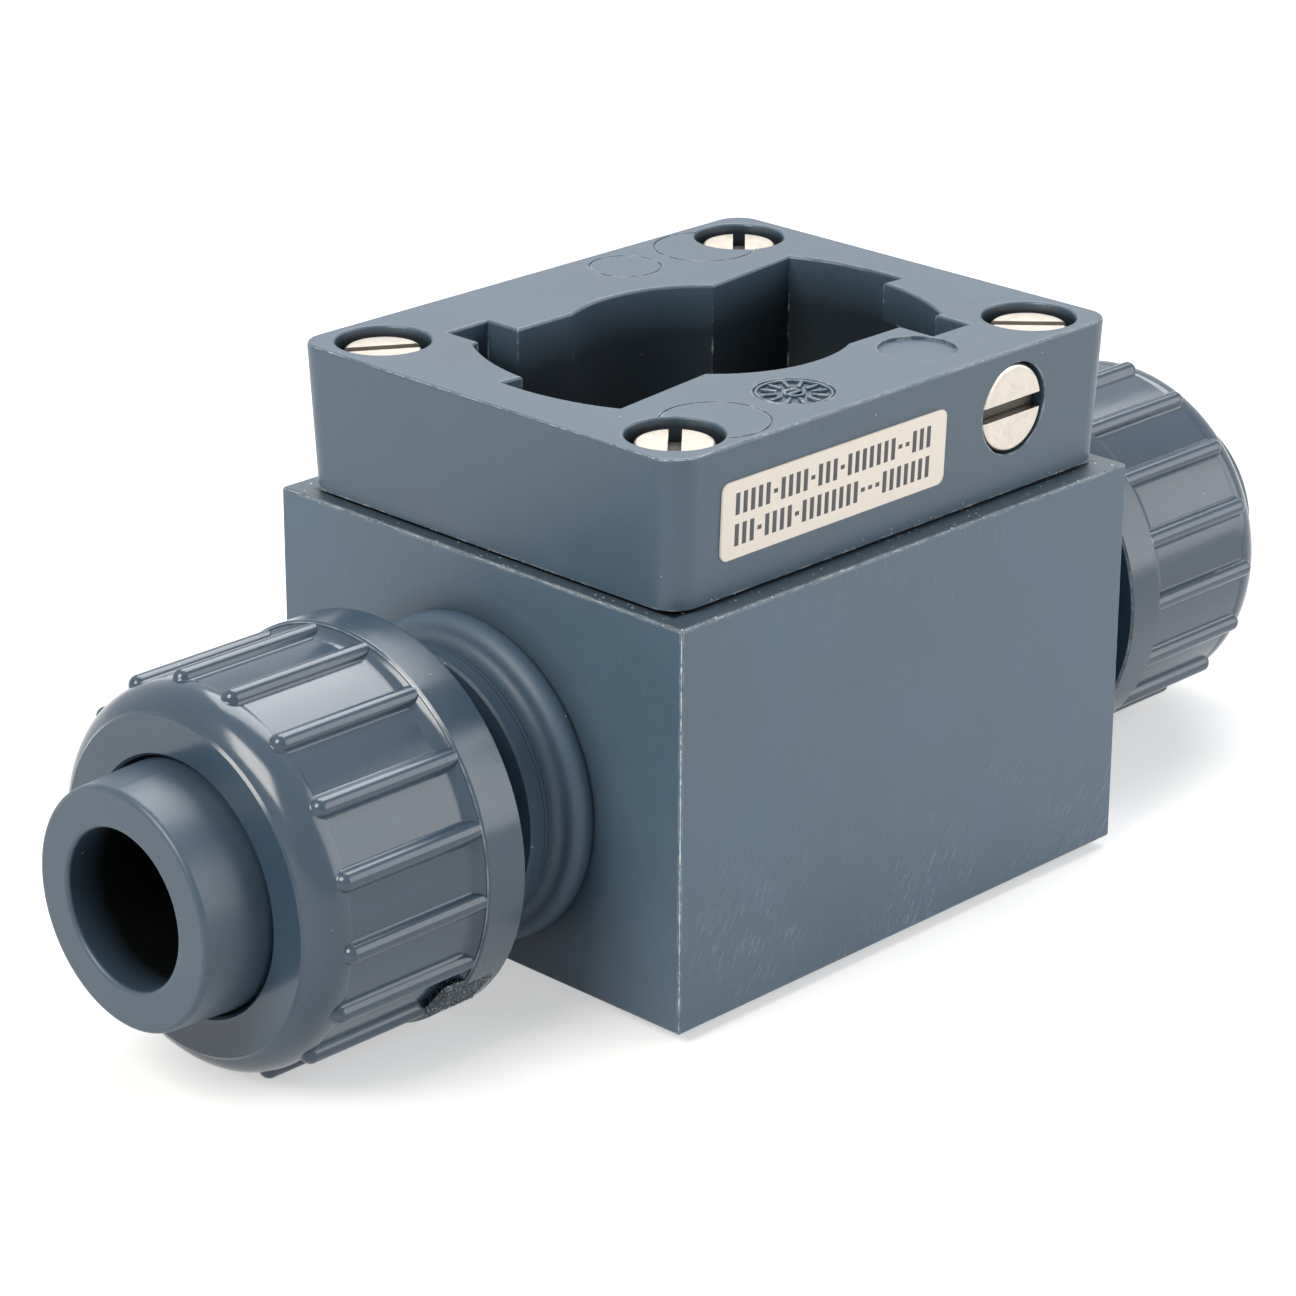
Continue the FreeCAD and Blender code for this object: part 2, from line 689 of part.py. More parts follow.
def paddle_wheel():
    half = wheel_width / 2
    hub = cylinder(hub_r, wheel_width, Vector(0, -half, wheel_z), Y_AXIS)
    paddles = []
    for angle in paddle_angles():
        blade = box(0, bulb_r_at, -half, half,
                    wheel_z - paddle_thickness / 2, wheel_z + paddle_thickness / 2)
        bulb = cylinder(paddle_bulb_r, wheel_width, Vector(bulb_r_at, -half, wheel_z), Y_AXIS)
        paddles.append(turned_about_axle(blade.fuse(bulb), angle))
    wheel = hub.fuse(paddles).removeSplitter()
    cuts = [magnet_space(angle, magnet_r + seat_gap, magnet_start()) for angle in paddle_angles()]
    cuts.append(cylinder(axle_r, wheel_width, Vector(0, -half, wheel_z), Y_AXIS))
    return wheel.cut(cuts)


def wheel_magnets():
    return Part.makeCompound([magnet_space(angle, magnet_r, magnet_start())
                              for angle in paddle_angles()])


def build():
    parts = {
        "base_block": base_block(),
        "sensor_housing": sensor_housing(),
        "housing_gasket": housing_gasket(),
        "cover_screws": cover_screws(),
        "screw_inserts": screw_inserts(),
        "lock_screw": lock_screw(),
        "lock_washer": lock_washer(),
        "lock_insert": lock_insert(),
        "label": label(),
        "wheel_holder": wheel_holder(),
        "holder_seal": holder_seal(),
        "front_bearing": bearing(Y_AXIS),
        "rear_bearing": bearing(-Y_AXIS),
        "wheel_axle": wheel_axle(),
        "paddle_wheel": paddle_wheel(),
        "wheel_magnets": wheel_magnets(),
    }
    for side in ("left", "right"):
        parts[side + "_union_bush"] = on_side(union_bush(), side)
        parts[side + "_face_seal"] = on_side(face_seal(), side)
        parts[side + "_union_nut"] = on_side(union_nut(side), side)
        parts[side + "_union_end"] = on_side(union_end(), side)
    return parts


os.makedirs("parts", exist_ok=True)
for node, shape in build().items():
    solids = shape.Solids
    print(f"{node}: {len(solids)} solid(s), {shape.Volume:.1f} mm3, valid {shape.isValid()}")
    shape.exportStep(f"parts/{node}.step")
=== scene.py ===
import bpy
import math
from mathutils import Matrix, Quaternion, Vector


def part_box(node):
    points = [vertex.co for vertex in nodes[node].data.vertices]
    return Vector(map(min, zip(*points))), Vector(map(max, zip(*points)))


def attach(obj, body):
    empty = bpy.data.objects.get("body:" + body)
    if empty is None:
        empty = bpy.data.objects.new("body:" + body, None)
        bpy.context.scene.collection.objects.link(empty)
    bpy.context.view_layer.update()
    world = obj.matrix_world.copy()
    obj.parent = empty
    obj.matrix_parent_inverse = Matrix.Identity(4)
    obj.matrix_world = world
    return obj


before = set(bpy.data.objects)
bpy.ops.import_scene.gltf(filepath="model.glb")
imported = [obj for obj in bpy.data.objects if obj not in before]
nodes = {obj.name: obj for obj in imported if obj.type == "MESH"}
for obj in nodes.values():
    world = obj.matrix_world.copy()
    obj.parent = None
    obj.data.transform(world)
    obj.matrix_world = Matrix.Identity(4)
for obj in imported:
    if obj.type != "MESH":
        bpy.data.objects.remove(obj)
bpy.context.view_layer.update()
mm = 0.001
pipeHeight = 15.5 * mm
print("frame loaded:", len(nodes), "nodes")


cameraView = {
    "spot": (-226.74 * mm, -214.54 * mm, 143.75 * mm),
    "direction": (0.664585, 0.647687, -0.372598),
    "roll": 0.227,
    "lens": 117.87,
    "sensor": 36.0,
}


def makeCamera():
    data = bpy.data.cameras.new("camera")
    data.lens = cameraView["lens"]
    data.sensor_width = cameraView["sensor"]
    data.clip_start = 0.01
    camera = bpy.data.objects.new("camera", data)
    bpy.context.scene.collection.objects.link(camera)
    turn = Vector(cameraView["direction"]).to_track_quat("-Z", "Y")
    roll = Quaternion((0, 0, 1), math.radians(cameraView["roll"]))
    camera.rotation_mode = "QUATERNION"
    camera.rotation_quaternion = turn @ roll
    camera.location = cameraView["spot"]
    bpy.context.scene.camera = camera


studio = {
    "aim": (0.0, 0.0, 20 * mm),
    "softboxes": {
        "overhead": {
            "direction": (0.45, 0.30, 0.85), "distance": 0.75, "size": (0.60, 0.50), "power": 5.2,
            "colour": (1.0, 1.0, 1.0),
        },
        "frontRight": {
            "direction": (0.60, -0.74, 0.30), "distance": 0.75, "size": (0.60, 0.65), "power": 3.4,
            "colour": (1.0, 1.0, 1.0),
        },
        "frontLeft": {
            "direction": (-0.72, 0.0, 0.64), "distance": 0.9, "size": (0.50, 0.50), "power": 8.0,
            "colour": (1.0, 0.945, 0.87),
        },
    },
    "ambient": (0.99, 1.0, 0.98),
    "ambientLevel": 0.20,
    "floorColour": (0.62, 0.63, 0.64),
    "floorLift": 0.50,
    "floorFade": (0.35, 1.2),
    "floorSize": 8.0,
}


def addNode(tree, kind, inputs=None, **settings):
    node = tree.nodes.new(kind)
    for key, value in settings.items():
        setattr(node, key, value)
    for key, value in (inputs or {}).items():
        if isinstance(value, bpy.types.NodeSocket):
            tree.links.new(value, node.inputs[key])
        else:
            node.inputs[key].default_value = value
    return node


def calc(tree, operation, first, second=0.0, clamp=False):
    node = addNode(tree, "ShaderNodeMath", {0: first, 1: second}, operation=operation, use_clamp=clamp)
    return node.outputs[0]


def times(tree, first, second):
    return calc(tree, "MULTIPLY", first, second)


def vectorCalc(tree, operation, first, second=(0, 0, 0)):
    node = addNode(tree, "ShaderNodeVectorMath", {0: first, 1: second}, operation=operation)
    return node.outputs[0]


def lengthOf(tree, vector):
    return addNode(tree, "ShaderNodeVectorMath", {0: vector}, operation="LENGTH").outputs["Value"]


def splitVector(tree, vector):
    return addNode(tree, "ShaderNodeSeparateXYZ", {0: vector}).outputs


def placeInMm(tree):
    # the point on the piece, in millimetres
    coordinates = addNode(tree, "ShaderNodeTexCoord")
    return addNode(tree, "ShaderNodeVectorMath", {0: coordinates.outputs["Object"], "Scale": 1 / mm},
                   operation="SCALE").outputs[0]


def noiseValue(tree, vector, scale, detail=2.0, roughness=0.5):
    node = addNode(tree, "ShaderNodeTexNoise", {"Vector": vector, "Scale": scale, "Detail": detail,
                                                "Roughness": roughness})
    return node.outputs["Fac"]


def remap(tree, value, low, high, toLow=0.0, toHigh=1.0):
    node = addNode(tree, "ShaderNodeMapRange", {"Value": value, "From Min": low, "From Max": high,
                                                "To Min": toLow, "To Max": toHigh})
    return node.outputs["Result"]


def makeLights():
    aim = Vector(studio["aim"])
    for name, box in studio["softboxes"].items():
        data = bpy.data.lights.new(name, "AREA")
        data.shape = "RECTANGLE"
        data.size, data.size_y = box["size"]
        data.energy = box["power"]
        data.color = box["colour"]
        lamp = bpy.data.objects.new(name, data)
        bpy.context.scene.collection.objects.link(lamp)
        direction = Vector(box["direction"]).normalized()
        lamp.location = aim + direction * box["distance"]
        lamp.rotation_euler = direction.to_track_quat("Z", "Y").to_euler()


def seenDirectly(tree):
    # one for rays from the camera, in mirrors and through glass
    path = addNode(tree, "ShaderNodeLightPath")
    seen = calc(tree, "MAXIMUM", path.outputs["Is Camera Ray"], path.outputs["Is Glossy Ray"])
    return calc(tree, "MAXIMUM", seen, path.outputs["Is Transmission Ray"])


def makeWorld():
    world = bpy.data.worlds.new("studio")
    bpy.context.scene.world = world
    world.use_nodes = True
    tree = world.node_tree
    tree.nodes.clear()
    dim = addNode(tree, "ShaderNodeBackground",
                  {"Color": (*studio["ambient"], 1), "Strength": studio["ambientLevel"]})
    white = addNode(tree, "ShaderNodeBackground", {"Color": (1, 1, 1, 1), "Strength": 1.0})
    mix = addNode(tree, "ShaderNodeMixShader",
                  {0: seenDirectly(tree), 1: dim.outputs[0], 2: white.outputs[0]})
    addNode(tree, "ShaderNodeOutputWorld", {"Surface": mix.outputs[0]})


def makeFloor():
    bpy.ops.object.select_all(action="DESELECT")
    bpy.ops.mesh.primitive_plane_add(size=studio["floorSize"])
    floor = bpy.context.object
    floor.name = "floor"
    material = bpy.data.materials.new("floorPaper")
    material.use_nodes = True
    tree = material.node_tree
    tree.nodes.clear()
    paper = addNode(tree, "ShaderNodeBsdfDiffuse", {"Color": (*studio["floorColour"], 1)})
    lift = addNode(tree, "ShaderNodeEmission", {"Color": (1, 1, 1, 1)})
    # the paper runs out to plain white away from the object
    place = addNode(tree, "ShaderNodeTexCoord").outputs["Object"]
    whiter = remap(tree, lengthOf(tree, place), *studio["floorFade"], studio["floorLift"], 1.0)
    tree.links.new(times(tree, seenDirectly(tree), whiter), lift.inputs["Strength"])
    both = addNode(tree, "ShaderNodeAddShader", {0: paper.outputs[0], 1: lift.outputs[0]})
    addNode(tree, "ShaderNodeOutputMaterial", {"Surface": both.outputs[0]})
    floor.data.materials.append(material)


makeCamera()
makeLights()
makeWorld()
makeFloor()
bpy.context.scene.view_settings.view_transform = "Standard"
print("camera, floor and light ready")


effectLooks = {
    # a noise is (scale, detail, roughness) or, where the group is given its scale, (detail, roughness);
    # a band is (from, to) or (from, to, low, high)
    "wearPatches": (4.0, 0.65), "wearHardness": 6.0,
    "skinGrain": (3.0, 0.6), "skinRipple": (1.0, 0.5), "skinCloud": (0.09, 3.0, 0.6),
    "skinFine": (2.5, 2.0, 0.5), "skinShares": (0.7, 0.3), "skinBand": (0.3, 0.7),
    "streakLines": (1.0, 5.0, 0.7), "streakPatches": (0.12, 2.0, 0.5), "streakBand": (0.4, 0.65),
    "streakLevel": 0.6, "streakHardness": 6.0,
    "sweepLines": (1.0, 4.0, 0.75), "sweepPatches": (0.16, 3.0, 0.6), "sweepBand": (0.42, 0.62),
    "sweepHardness": 9.0,
    "edgeNicks": (4.0, 0.75), "edgeNickBand": (0.35, 0.70, 0.88, 1.35), "edgePatches": (0.25, 3.0, 0.6),
    "edgeBand": (0.35, 0.62, 0.4, 1.0),
    "rimNicks": (1.4, 4.0, 0.75), "rimNickBand": (0.35, 0.70, 0.85, 1.4), "rimPatches": (0.2, 3.0, 0.6),
    "rimBand": (0.38, 0.6, 0.2, 0.9),
    "ringLines": {"Scale": 1.0, "Detail": 3.0, "Roughness": 0.7},
}


def newGroup(name, inputs, outputs):
    group = bpy.data.node_groups.new(name, "ShaderNodeTree")
    for label, kind, value in inputs:
        socket = group.interface.new_socket(name=label, in_out="INPUT", socket_type=kind)
        socket.default_value = value
    for label, kind in outputs:
        group.interface.new_socket(name=label, in_out="OUTPUT", socket_type=kind)
    source = group.nodes.new("NodeGroupInput").outputs
    target = group.nodes.new("NodeGroupOutput").inputs
    return group, source, target


def makeEdgeWear():
    group, given, result = newGroup("edgeWear", [
        ("Radius", "NodeSocketFloat", 0.0002),
        ("Start", "NodeSocketFloat", 0.02),
        ("Full", "NodeSocketFloat", 0.18),
        ("Patch Scale", "NodeSocketFloat", 0.6),
        ("Patch Level", "NodeSocketFloat", 0.5),
    ], [("Mask", "NodeSocketFloat")])
    rounded = addNode(group, "ShaderNodeBevel", {"Radius": given["Radius"]}, samples=6)
    surface = addNode(group, "ShaderNodeNewGeometry")
    facing = addNode(group, "ShaderNodeVectorMath",
                     {0: rounded.outputs["Normal"], 1: surface.outputs["Normal"]},
                     operation="DOT_PRODUCT").outputs["Value"]
    bend = calc(group, "SUBTRACT", 1.0, facing)
    edge = remap(group, bend, given["Start"], given["Full"])
    patches = noiseValue(group, placeInMm(group), given["Patch Scale"], *effectLooks["wearPatches"])
    above = calc(group, "SUBTRACT", patches, given["Patch Level"])
    worn = calc(group, "MULTIPLY", above, effectLooks["wearHardness"], clamp=True)
    group.links.new(calc(group, "MULTIPLY", edge, worn, clamp=True), result["Mask"])
    return group


def makeMouldedSkin():
    group, given, result = newGroup("mouldedSkin", [
        ("Grain Scale", "NodeSocketFloat", 6.0),
        ("Ripple Scale", "NodeSocketFloat", 0.4),
        ("Ripple", "NodeSocketFloat", 0.5),
    ], [("Height", "NodeSocketFloat"), ("Mottle", "NodeSocketFloat")])
    point = placeInMm(group)
    grain = noiseValue(group, point, given["Grain Scale"], *effectLooks["skinGrain"])
    ripple = noiseValue(group, point, given["Ripple Scale"], *effectLooks["skinRipple"])
    raised = times(group, ripple, given["Ripple"])
    group.links.new(calc(group, "ADD", grain, raised), result["Height"])
    cloud = noiseValue(group, point, *effectLooks["skinCloud"])
    fine = noiseValue(group, point, *effectLooks["skinFine"])
    cloudShare, fineShare = effectLooks["skinShares"]
    both = calc(group, "ADD", times(group, cloud, cloudShare), times(group, fine, fineShare))
    group.links.new(remap(group, both, *effectLooks["skinBand"]), result["Mottle"])
    return group


def makeDustSpecks():
    group, given, result = newGroup("dustSpecks", [
        ("Scale", "NodeSocketFloat", 1.2),
        ("Size", "NodeSocketFloat", 0.08),
        ("Share", "NodeSocketFloat", 0.35),
    ], [("Mask", "NodeSocketFloat")])
    cells = addNode(group, "ShaderNodeTexVoronoi", {"Vector": placeInMm(group), "Scale": given["Scale"]})
    chance = addNode(group, "ShaderNodeSeparateColor", {"Color": cells.outputs["Color"]})
    size = times(group, given["Size"], chance.outputs["Green"])
    inside = calc(group, "LESS_THAN", cells.outputs["Distance"], size)
    kept = calc(group, "LESS_THAN", chance.outputs["Red"], given["Share"])
    group.links.new(times(group, inside, kept), result["Mask"])
    return group


def makeStreaks():
    group, given, result = newGroup("streaks", [
        ("Stretch", "NodeSocketVector", (1, 1, 1)),
        ("Turn", "NodeSocketVector", (0, 0, 0)),
        ("Contrast", "NodeSocketFloat", 1.0),
    ], [("Height", "NodeSocketFloat"), ("Mask", "NodeSocketFloat")])
    turned = addNode(group, "ShaderNodeMapping", {"Vector": placeInMm(group), "Rotation": given["Turn"],
                                                  "Scale": given["Stretch"]})
    lines = noiseValue(group, turned.outputs[0], *effectLooks["streakLines"])
    group.links.new(lines, result["Height"])
    patches = remap(group, noiseValue(group, placeInMm(group), *effectLooks["streakPatches"]),
                    *effectLooks["streakBand"])
    above = calc(group, "SUBTRACT", lines, effectLooks["streakLevel"])
    sharp = calc(group, "MULTIPLY", above, effectLooks["streakHardness"], clamp=True)
    strong = calc(group, "MULTIPLY", sharp, given["Contrast"], clamp=True)
    group.links.new(times(group, strong, patches), result["Mask"])
    return group


def makeSweepMarks():
    # short scratches that lie on arcs round a centre, in millimetres, where a face mill passed
    group, given, result = newGroup("sweepMarks", [
        ("Centre", "NodeSocketVector", (0, 0, 0)),
        ("Along", "NodeSocketVector", (1, 1, 1)),
        ("Spacing", "NodeSocketFloat", 2.0),
        ("Run", "NodeSocketFloat", 0.3),
        ("Level", "NodeSocketFloat", 0.58),
    ], [("Height", "NodeSocketFloat"), ("Mask", "NodeSocketFloat")])
    point = placeInMm(group)
    offset = vectorCalc(group, "SUBTRACT", point, given["Centre"])
    flat = vectorCalc(group, "MULTIPLY", offset, given["Along"])
    reach = lengthOf(group, flat)
    parts = splitVector(group, flat)
    arc = times(group, calc(group, "ARCTAN2", parts["Z"], parts["X"]), reach)
    across = addNode(group, "ShaderNodeCombineXYZ", {"X": times(group, reach, given["Spacing"]),
                                                     "Y": times(group, arc, given["Run"])})
    lines = noiseValue(group, across.outputs[0], *effectLooks["sweepLines"])
    group.links.new(lines, result["Height"])
    patches = remap(group, noiseValue(group, point, *effectLooks["sweepPatches"]), *effectLooks["sweepBand"])
    above = calc(group, "SUBTRACT", lines, given["Level"])
    sharp = calc(group, "MULTIPLY", above, effectLooks["sweepHardness"], clamp=True)
    group.links.new(times(group, sharp, patches), result["Mask"])
    return group


def makeBoxEdges():
    # a ragged line along the edges of a box, from its middle and half size in millimetres
    group, given, result = newGroup("boxEdges", [
        ("Middle", "NodeSocketVector", (0, 0, 0)),
        ("Half Size", "NodeSocketVector", (1, 1, 1)),
        ("Reach", "NodeSocketFloat", 0.12),
        ("Softness", "NodeSocketFloat", 0.03),
        ("Nick Scale", "NodeSocketFloat", 1.6),
    ], [("Mask", "NodeSocketFloat")])
    point = placeInMm(group)
    size = vectorCalc(group, "ABSOLUTE", vectorCalc(group, "SUBTRACT", point, given["Middle"]))
    x, y, z = splitVector(group, vectorCalc(group, "SUBTRACT", given["Half Size"], size))
    low = calc(group, "MINIMUM", x, y)
    high = calc(group, "MAXIMUM", x, y)
    second = calc(group, "MAXIMUM", low, calc(group, "MINIMUM", high, z))
    nicks = noiseValue(group, point, given["Nick Scale"], *effectLooks["edgeNicks"])
    reach = times(group, given["Reach"], remap(group, nicks, *effectLooks["edgeNickBand"]))
    strong = calc(group, "DIVIDE", calc(group, "SUBTRACT", reach, second), given["Softness"], clamp=True)
    fade = remap(group, noiseValue(group, point, *effectLooks["edgePatches"]), *effectLooks["edgeBand"])
    group.links.new(times(group, strong, fade), result["Mask"])
    return group


def makeRimWear():
    # a ragged line round the top rim of a box with rounded corners, sizes in millimetres
    group, given, result = newGroup("rimWear", [
        ("Inner Size", "NodeSocketVector", (1, 1, 0)),
        ("Corner", "NodeSocketFloat", 2.0),
        ("Top", "NodeSocketFloat", 10.0),
        ("Reach", "NodeSocketFloat", 0.09),
        ("Softness", "NodeSocketFloat", 0.02),
    ], [("Mask", "NodeSocketFloat")])
    point = placeInMm(group)
    past = vectorCalc(group, "SUBTRACT", vectorCalc(group, "ABSOLUTE", point), given["Inner Size"])
    x, y, z = splitVector(group, past)
    ring = addNode(group, "ShaderNodeCombineXYZ", {"X": calc(group, "MAXIMUM", x, 0.0),
                                                   "Y": calc(group, "MAXIMUM", y, 0.0)})
    inward = calc(group, "SUBTRACT", given["Corner"], lengthOf(group, ring.outputs[0]))
    below = calc(group, "SUBTRACT", given["Top"], z)
    nicks = noiseValue(group, point, *effectLooks["rimNicks"])
    reach = times(group, given["Reach"], remap(group, nicks, *effectLooks["rimNickBand"]))
    left = calc(group, "SUBTRACT", reach, calc(group, "MAXIMUM", inward, below))
    strong = calc(group, "DIVIDE", left, given["Softness"], clamp=True)
    fade = remap(group, noiseValue(group, point, *effectLooks["rimPatches"]), *effectLooks["rimBand"])
    group.links.new(times(group, strong, fade), result["Mask"])
    return group


def makeTurnedRings():
    # fine rings round an axis, the same on both sides of the middle planes
    group, given, result = newGroup("turnedRings", [
        ("Centre", "NodeSocketVector", (0, 0, 0)),
        ("Across", "NodeSocketVector", (1, 1, 0)),
        ("Spacing", "NodeSocketFloat", 8.0),
    ], [("Height", "NodeSocketFloat")])
    folded = vectorCalc(group, "ABSOLUTE", placeInMm(group))
    offset = vectorCalc(group, "SUBTRACT", folded, given["Centre"])
    reach = lengthOf(group, vectorCalc(group, "MULTIPLY", offset, given["Across"]))
    lines = addNode(group, "ShaderNodeTexNoise",
                    {"W": times(group, reach, given["Spacing"]), **effectLooks["ringLines"]},
                    noise_dimensions="1D").outputs["Fac"]
    group.links.new(lines, result["Height"])
    return group


effects = {
    "edgeWear": makeEdgeWear(),
    "mouldedSkin": makeMouldedSkin(),
    "dustSpecks": makeDustSpecks(),
    "streaks": makeStreaks(),
    "sweepMarks": makeSweepMarks(),
    "boxEdges": makeBoxEdges(),
    "rimWear": makeRimWear(),
    "turnedRings": makeTurnedRings(),
}
print("surface effects ready:", len(effects))


def addEffect(tree, name, **values):
    node = tree.nodes.new("ShaderNodeGroup")
    node.node_tree = effects[name]
    for key, value in values.items():
        node.inputs[key.replace("_", " ")].default_value = value
    return node.outputs


def mixColours(tree, factor, first, second):
    node = addNode(tree, "ShaderNodeMix", data_type="RGBA")
    for socket, value in ((node.inputs[0], factor), (node.inputs[6], first), (node.inputs[7], second)):
        if isinstance(value, bpy.types.NodeSocket):
            tree.links.new(value, socket)
        else:
            socket.default_value = value if isinstance(value, float) else (*value, 1)
    return node.outputs[2]


def startMaterial(name):
    material = bpy.data.materials.new(name)
    material.use_nodes = True
    tree = material.node_tree
    return material, tree, tree.nodes["Principled BSDF"]


def addBump(tree, shader, layers):
    # layers are (height, depth in metres), from the lowest to the finest
    normal = None
    for height, depth in layers:
        inputs = {"Height": height, "Distance": depth, "Strength": 1.0}
        if normal is not None:
            inputs["Normal"] = normal
        normal = addNode(tree, "ShaderNodeBump", inputs).outputs["Normal"]
    tree.links.new(normal, shader.inputs["Normal"])


plasticLooks = {
    # wear is (radius in metres, start, full, patch level) and dust is (size in millimetres, share)
    "blockPvc": {
        "colour": (0.064, 0.110, 0.160), "mottle": 0.10, "roughness": (0.36, 0.52), "grain": 5.0,
        "grainDepth": 2.0e-6, "ripple": 0.0,
        "wear": (0.00035, 0.04, 0.25, 0.40), "wearColour": (0.50, 0.56, 0.60), "dust": (0.06, 0.10),
    },
    "housingPvc": {
        "colour": (0.052, 0.091, 0.133), "mottle": 0.10, "roughness": (0.30, 0.46), "grain": 4.0,
        "grainDepth": 3.0e-6, "ripple": 1.5,
        "wear": (0.0003, 0.015, 0.12, 0.48), "wearColour": (0.42, 0.47, 0.50), "dust": (0.07, 0.14),
    },
    "nutPvc": {
        "colour": (0.034, 0.063, 0.100), "mottle": 0.08, "roughness": (0.12, 0.21), "grain": 2.2,
        "grainDepth": 2.0e-6, "ripple": 3.0,
        "wear": (0.0002, 0.10, 0.55, 0.60), "wearColour": (0.34, 0.38, 0.42), "dust": (0.06, 0.08),
    },
    "tornPvc": {
        "colour": (0.040, 0.062, 0.082), "mottle": 0.2, "roughness": (0.45, 0.65), "grain": 5.0,
        "grainDepth": 1.0e-5, "ripple": 0.0,
        "wear": (0.0001, 0.10, 0.55, 0.60), "wearColour": (0.34, 0.38, 0.42), "dust": (0.05, 0.05),
    },
    "unionEndPvc": {
        "colour": (0.038, 0.068, 0.104), "mottle": 0.10, "roughness": (0.32, 0.44), "grain": 3.0,
        "grainDepth": 2.0e-6, "ripple": 2.0,
        "wear": (0.0002, 0.08, 0.5, 0.52), "wearColour": (0.36, 0.41, 0.45), "dust": (0.09, 0.08),
    },
    "bushPvc": {
        "colour": (0.050, 0.091, 0.140), "mottle": 0.10, "roughness": (0.46, 0.58), "grain": 3.5,
        "grainDepth": 2.0e-6, "ripple": 1.0,
        "wear": (0.0002, 0.08, 0.5, 0.54), "wearColour": (0.36, 0.41, 0.45), "dust": (0.10, 0.12),
    },
    # painted shade: the wheel holder is near black for the shade deep in the opening
    "holderShadePvc": {
        "colour": (0.022, 0.027, 0.032), "mottle": 0.12, "roughness": (0.40, 0.55), "grain": 4.0,
        "grainDepth": 2.0e-6, "ripple": 1.0,
        "wear": (0.0002, 0.10, 0.6, 0.58), "wearColour": (0.08, 0.09, 0.10), "dust": (0.08, 0.10),
    },
    "wheelPlastic": {
        "colour": (0.62, 0.62, 0.58), "mottle": 0.06, "roughness": (0.35, 0.48), "grain": 4.0,
        "grainDepth": 2.0e-6, "ripple": 1.0,
        "wear": (0.0002, 0.10, 0.6, 0.60), "wearColour": (0.75, 0.75, 0.73), "dust": (0.06, 0.05),
    },
    "bearingCeramic": {
        "colour": (0.74, 0.73, 0.68), "mottle": 0.05, "roughness": (0.18, 0.30), "grain": 8.0,
        "grainDepth": 1.0e-6, "ripple": 0.0,
        "wear": (0.0001, 0.10, 0.6, 0.60), "wearColour": (0.85, 0.84, 0.80), "dust": (0.05, 0.05),
    },
    "sealRubber": {
        "colour": (0.012, 0.012, 0.013), "mottle": 0.20, "roughness": (0.45, 0.62), "grain": 9.0,
        "grainDepth": 3.0e-6, "ripple": 0.5,
        "wear": (0.0001, 0.10, 0.6, 0.60), "wearColour": (0.05, 0.05, 0.05), "dust": (0.12, 0.25),
    },
}
dustColour = (0.62, 0.66, 0.68)
wornRoughness = 0.25
plasticIor = 1.53


def shade(colour, factor):
    return tuple(min(1.0, part * factor) for part in colour)


def makePlastic(name, marksAndPaintedLight=None):
    # marks adds layers of its own, real marks along with painted shade and painted highlights: a list of
    # (mask or None, colour, height, depth)
    look = plasticLooks[name]
    material, tree, shader = startMaterial(name)
    skin = addEffect(tree, "mouldedSkin", Grain_Scale=look["grain"], Ripple=look["ripple"])
    radius, start, full, level = look["wear"]
    wear = addEffect(tree, "edgeWear", Radius=radius, Start=start, Full=full, Patch_Level=level)
    size, share = look["dust"]
    dust = addEffect(tree, "dustSpecks", Size=size, Share=share)
    colour = mixColours(tree, skin["Mottle"], shade(look["colour"], 1 - look["mottle"]),
                        shade(look["colour"], 1 + look["mottle"]))
    layers = [(skin["Height"], look["grainDepth"])]
    for mask, tint, height, depth in (marksAndPaintedLight(tree) if marksAndPaintedLight else []):
        if mask is not None:
            colour = mixColours(tree, mask, colour, tint)
        if height is not None:
            layers.append((height, depth))
    colour = mixColours(tree, wear["Mask"], colour, look["wearColour"])
    colour = mixColours(tree, dust["Mask"], colour, dustColour)
    tree.links.new(colour, shader.inputs["Base Color"])
    low, high = look["roughness"]
    rough = remap(tree, skin["Mottle"], 0.0, 1.0, low, high)
    rough = calc(tree, "ADD", rough, times(tree, wear["Mask"], wornRoughness), clamp=True)
    tree.links.new(rough, shader.inputs["Roughness"])
    shader.inputs["IOR"].default_value = plasticIor
    addBump(tree, shader, layers)
    return material


blockMarksAndShade = {
    "uprightStretch": (9.0, 9.0, 0.30), "uprightContrast": 1.2, "uprightShare": (0.35, 1.0),
    "levelStretch": (0.4, 0.4, 7.0), "levelContrast": 1.0, "levelShare": 0.35,
    "streakColour": (0.150, 0.205, 0.255), "streakDepth": 3.0e-6, "streakHeights": (18.0, 32.0),
    "sweepCentre": (85.0, 0.0, -53.0), "sweepSpacing": 7.0, "sweepRun": 0.45, "sweepLevel": 0.55,
    "sweepColour": (0.23, 0.29, 0.34), "sweepDepth": 5.0e-6, "sweepHeights": (17.0, 5.0),
    "sweepShare": (0.08, 0.9),
    "edgeColour": (0.66, 0.73, 0.76), "edgeReach": 0.125, "topEdge": (0.5, 0.3), "topEdgeShare": 0.5,
    # painted shade: the ledge and seam colours darken the top ledge and the seam under the housing
    "seamShadeColour": (0.004, 0.006, 0.008), "seamShadeMargin": 0.4, "seamShadeSoft": 0.12,
    # painted shadow: a dark ring round the bead on the end faces
    "beadShadowColour": (0.014, 0.027, 0.040), "beadShadowReach": (15.0, 12.0), "beadShadowShare": 0.7,
    "ledgeShadeColour": (0.050, 0.080, 0.108), "ledge": (0.22, 0.1), "face": (0.15, 0.05),
    "crumbScale": 2.4, "crumbSize": 0.22, "crumbShare": 0.5,
}


def boxInMm(nodeName):
    low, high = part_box(nodeName)
    return Vector(low) / mm, Vector(high) / mm


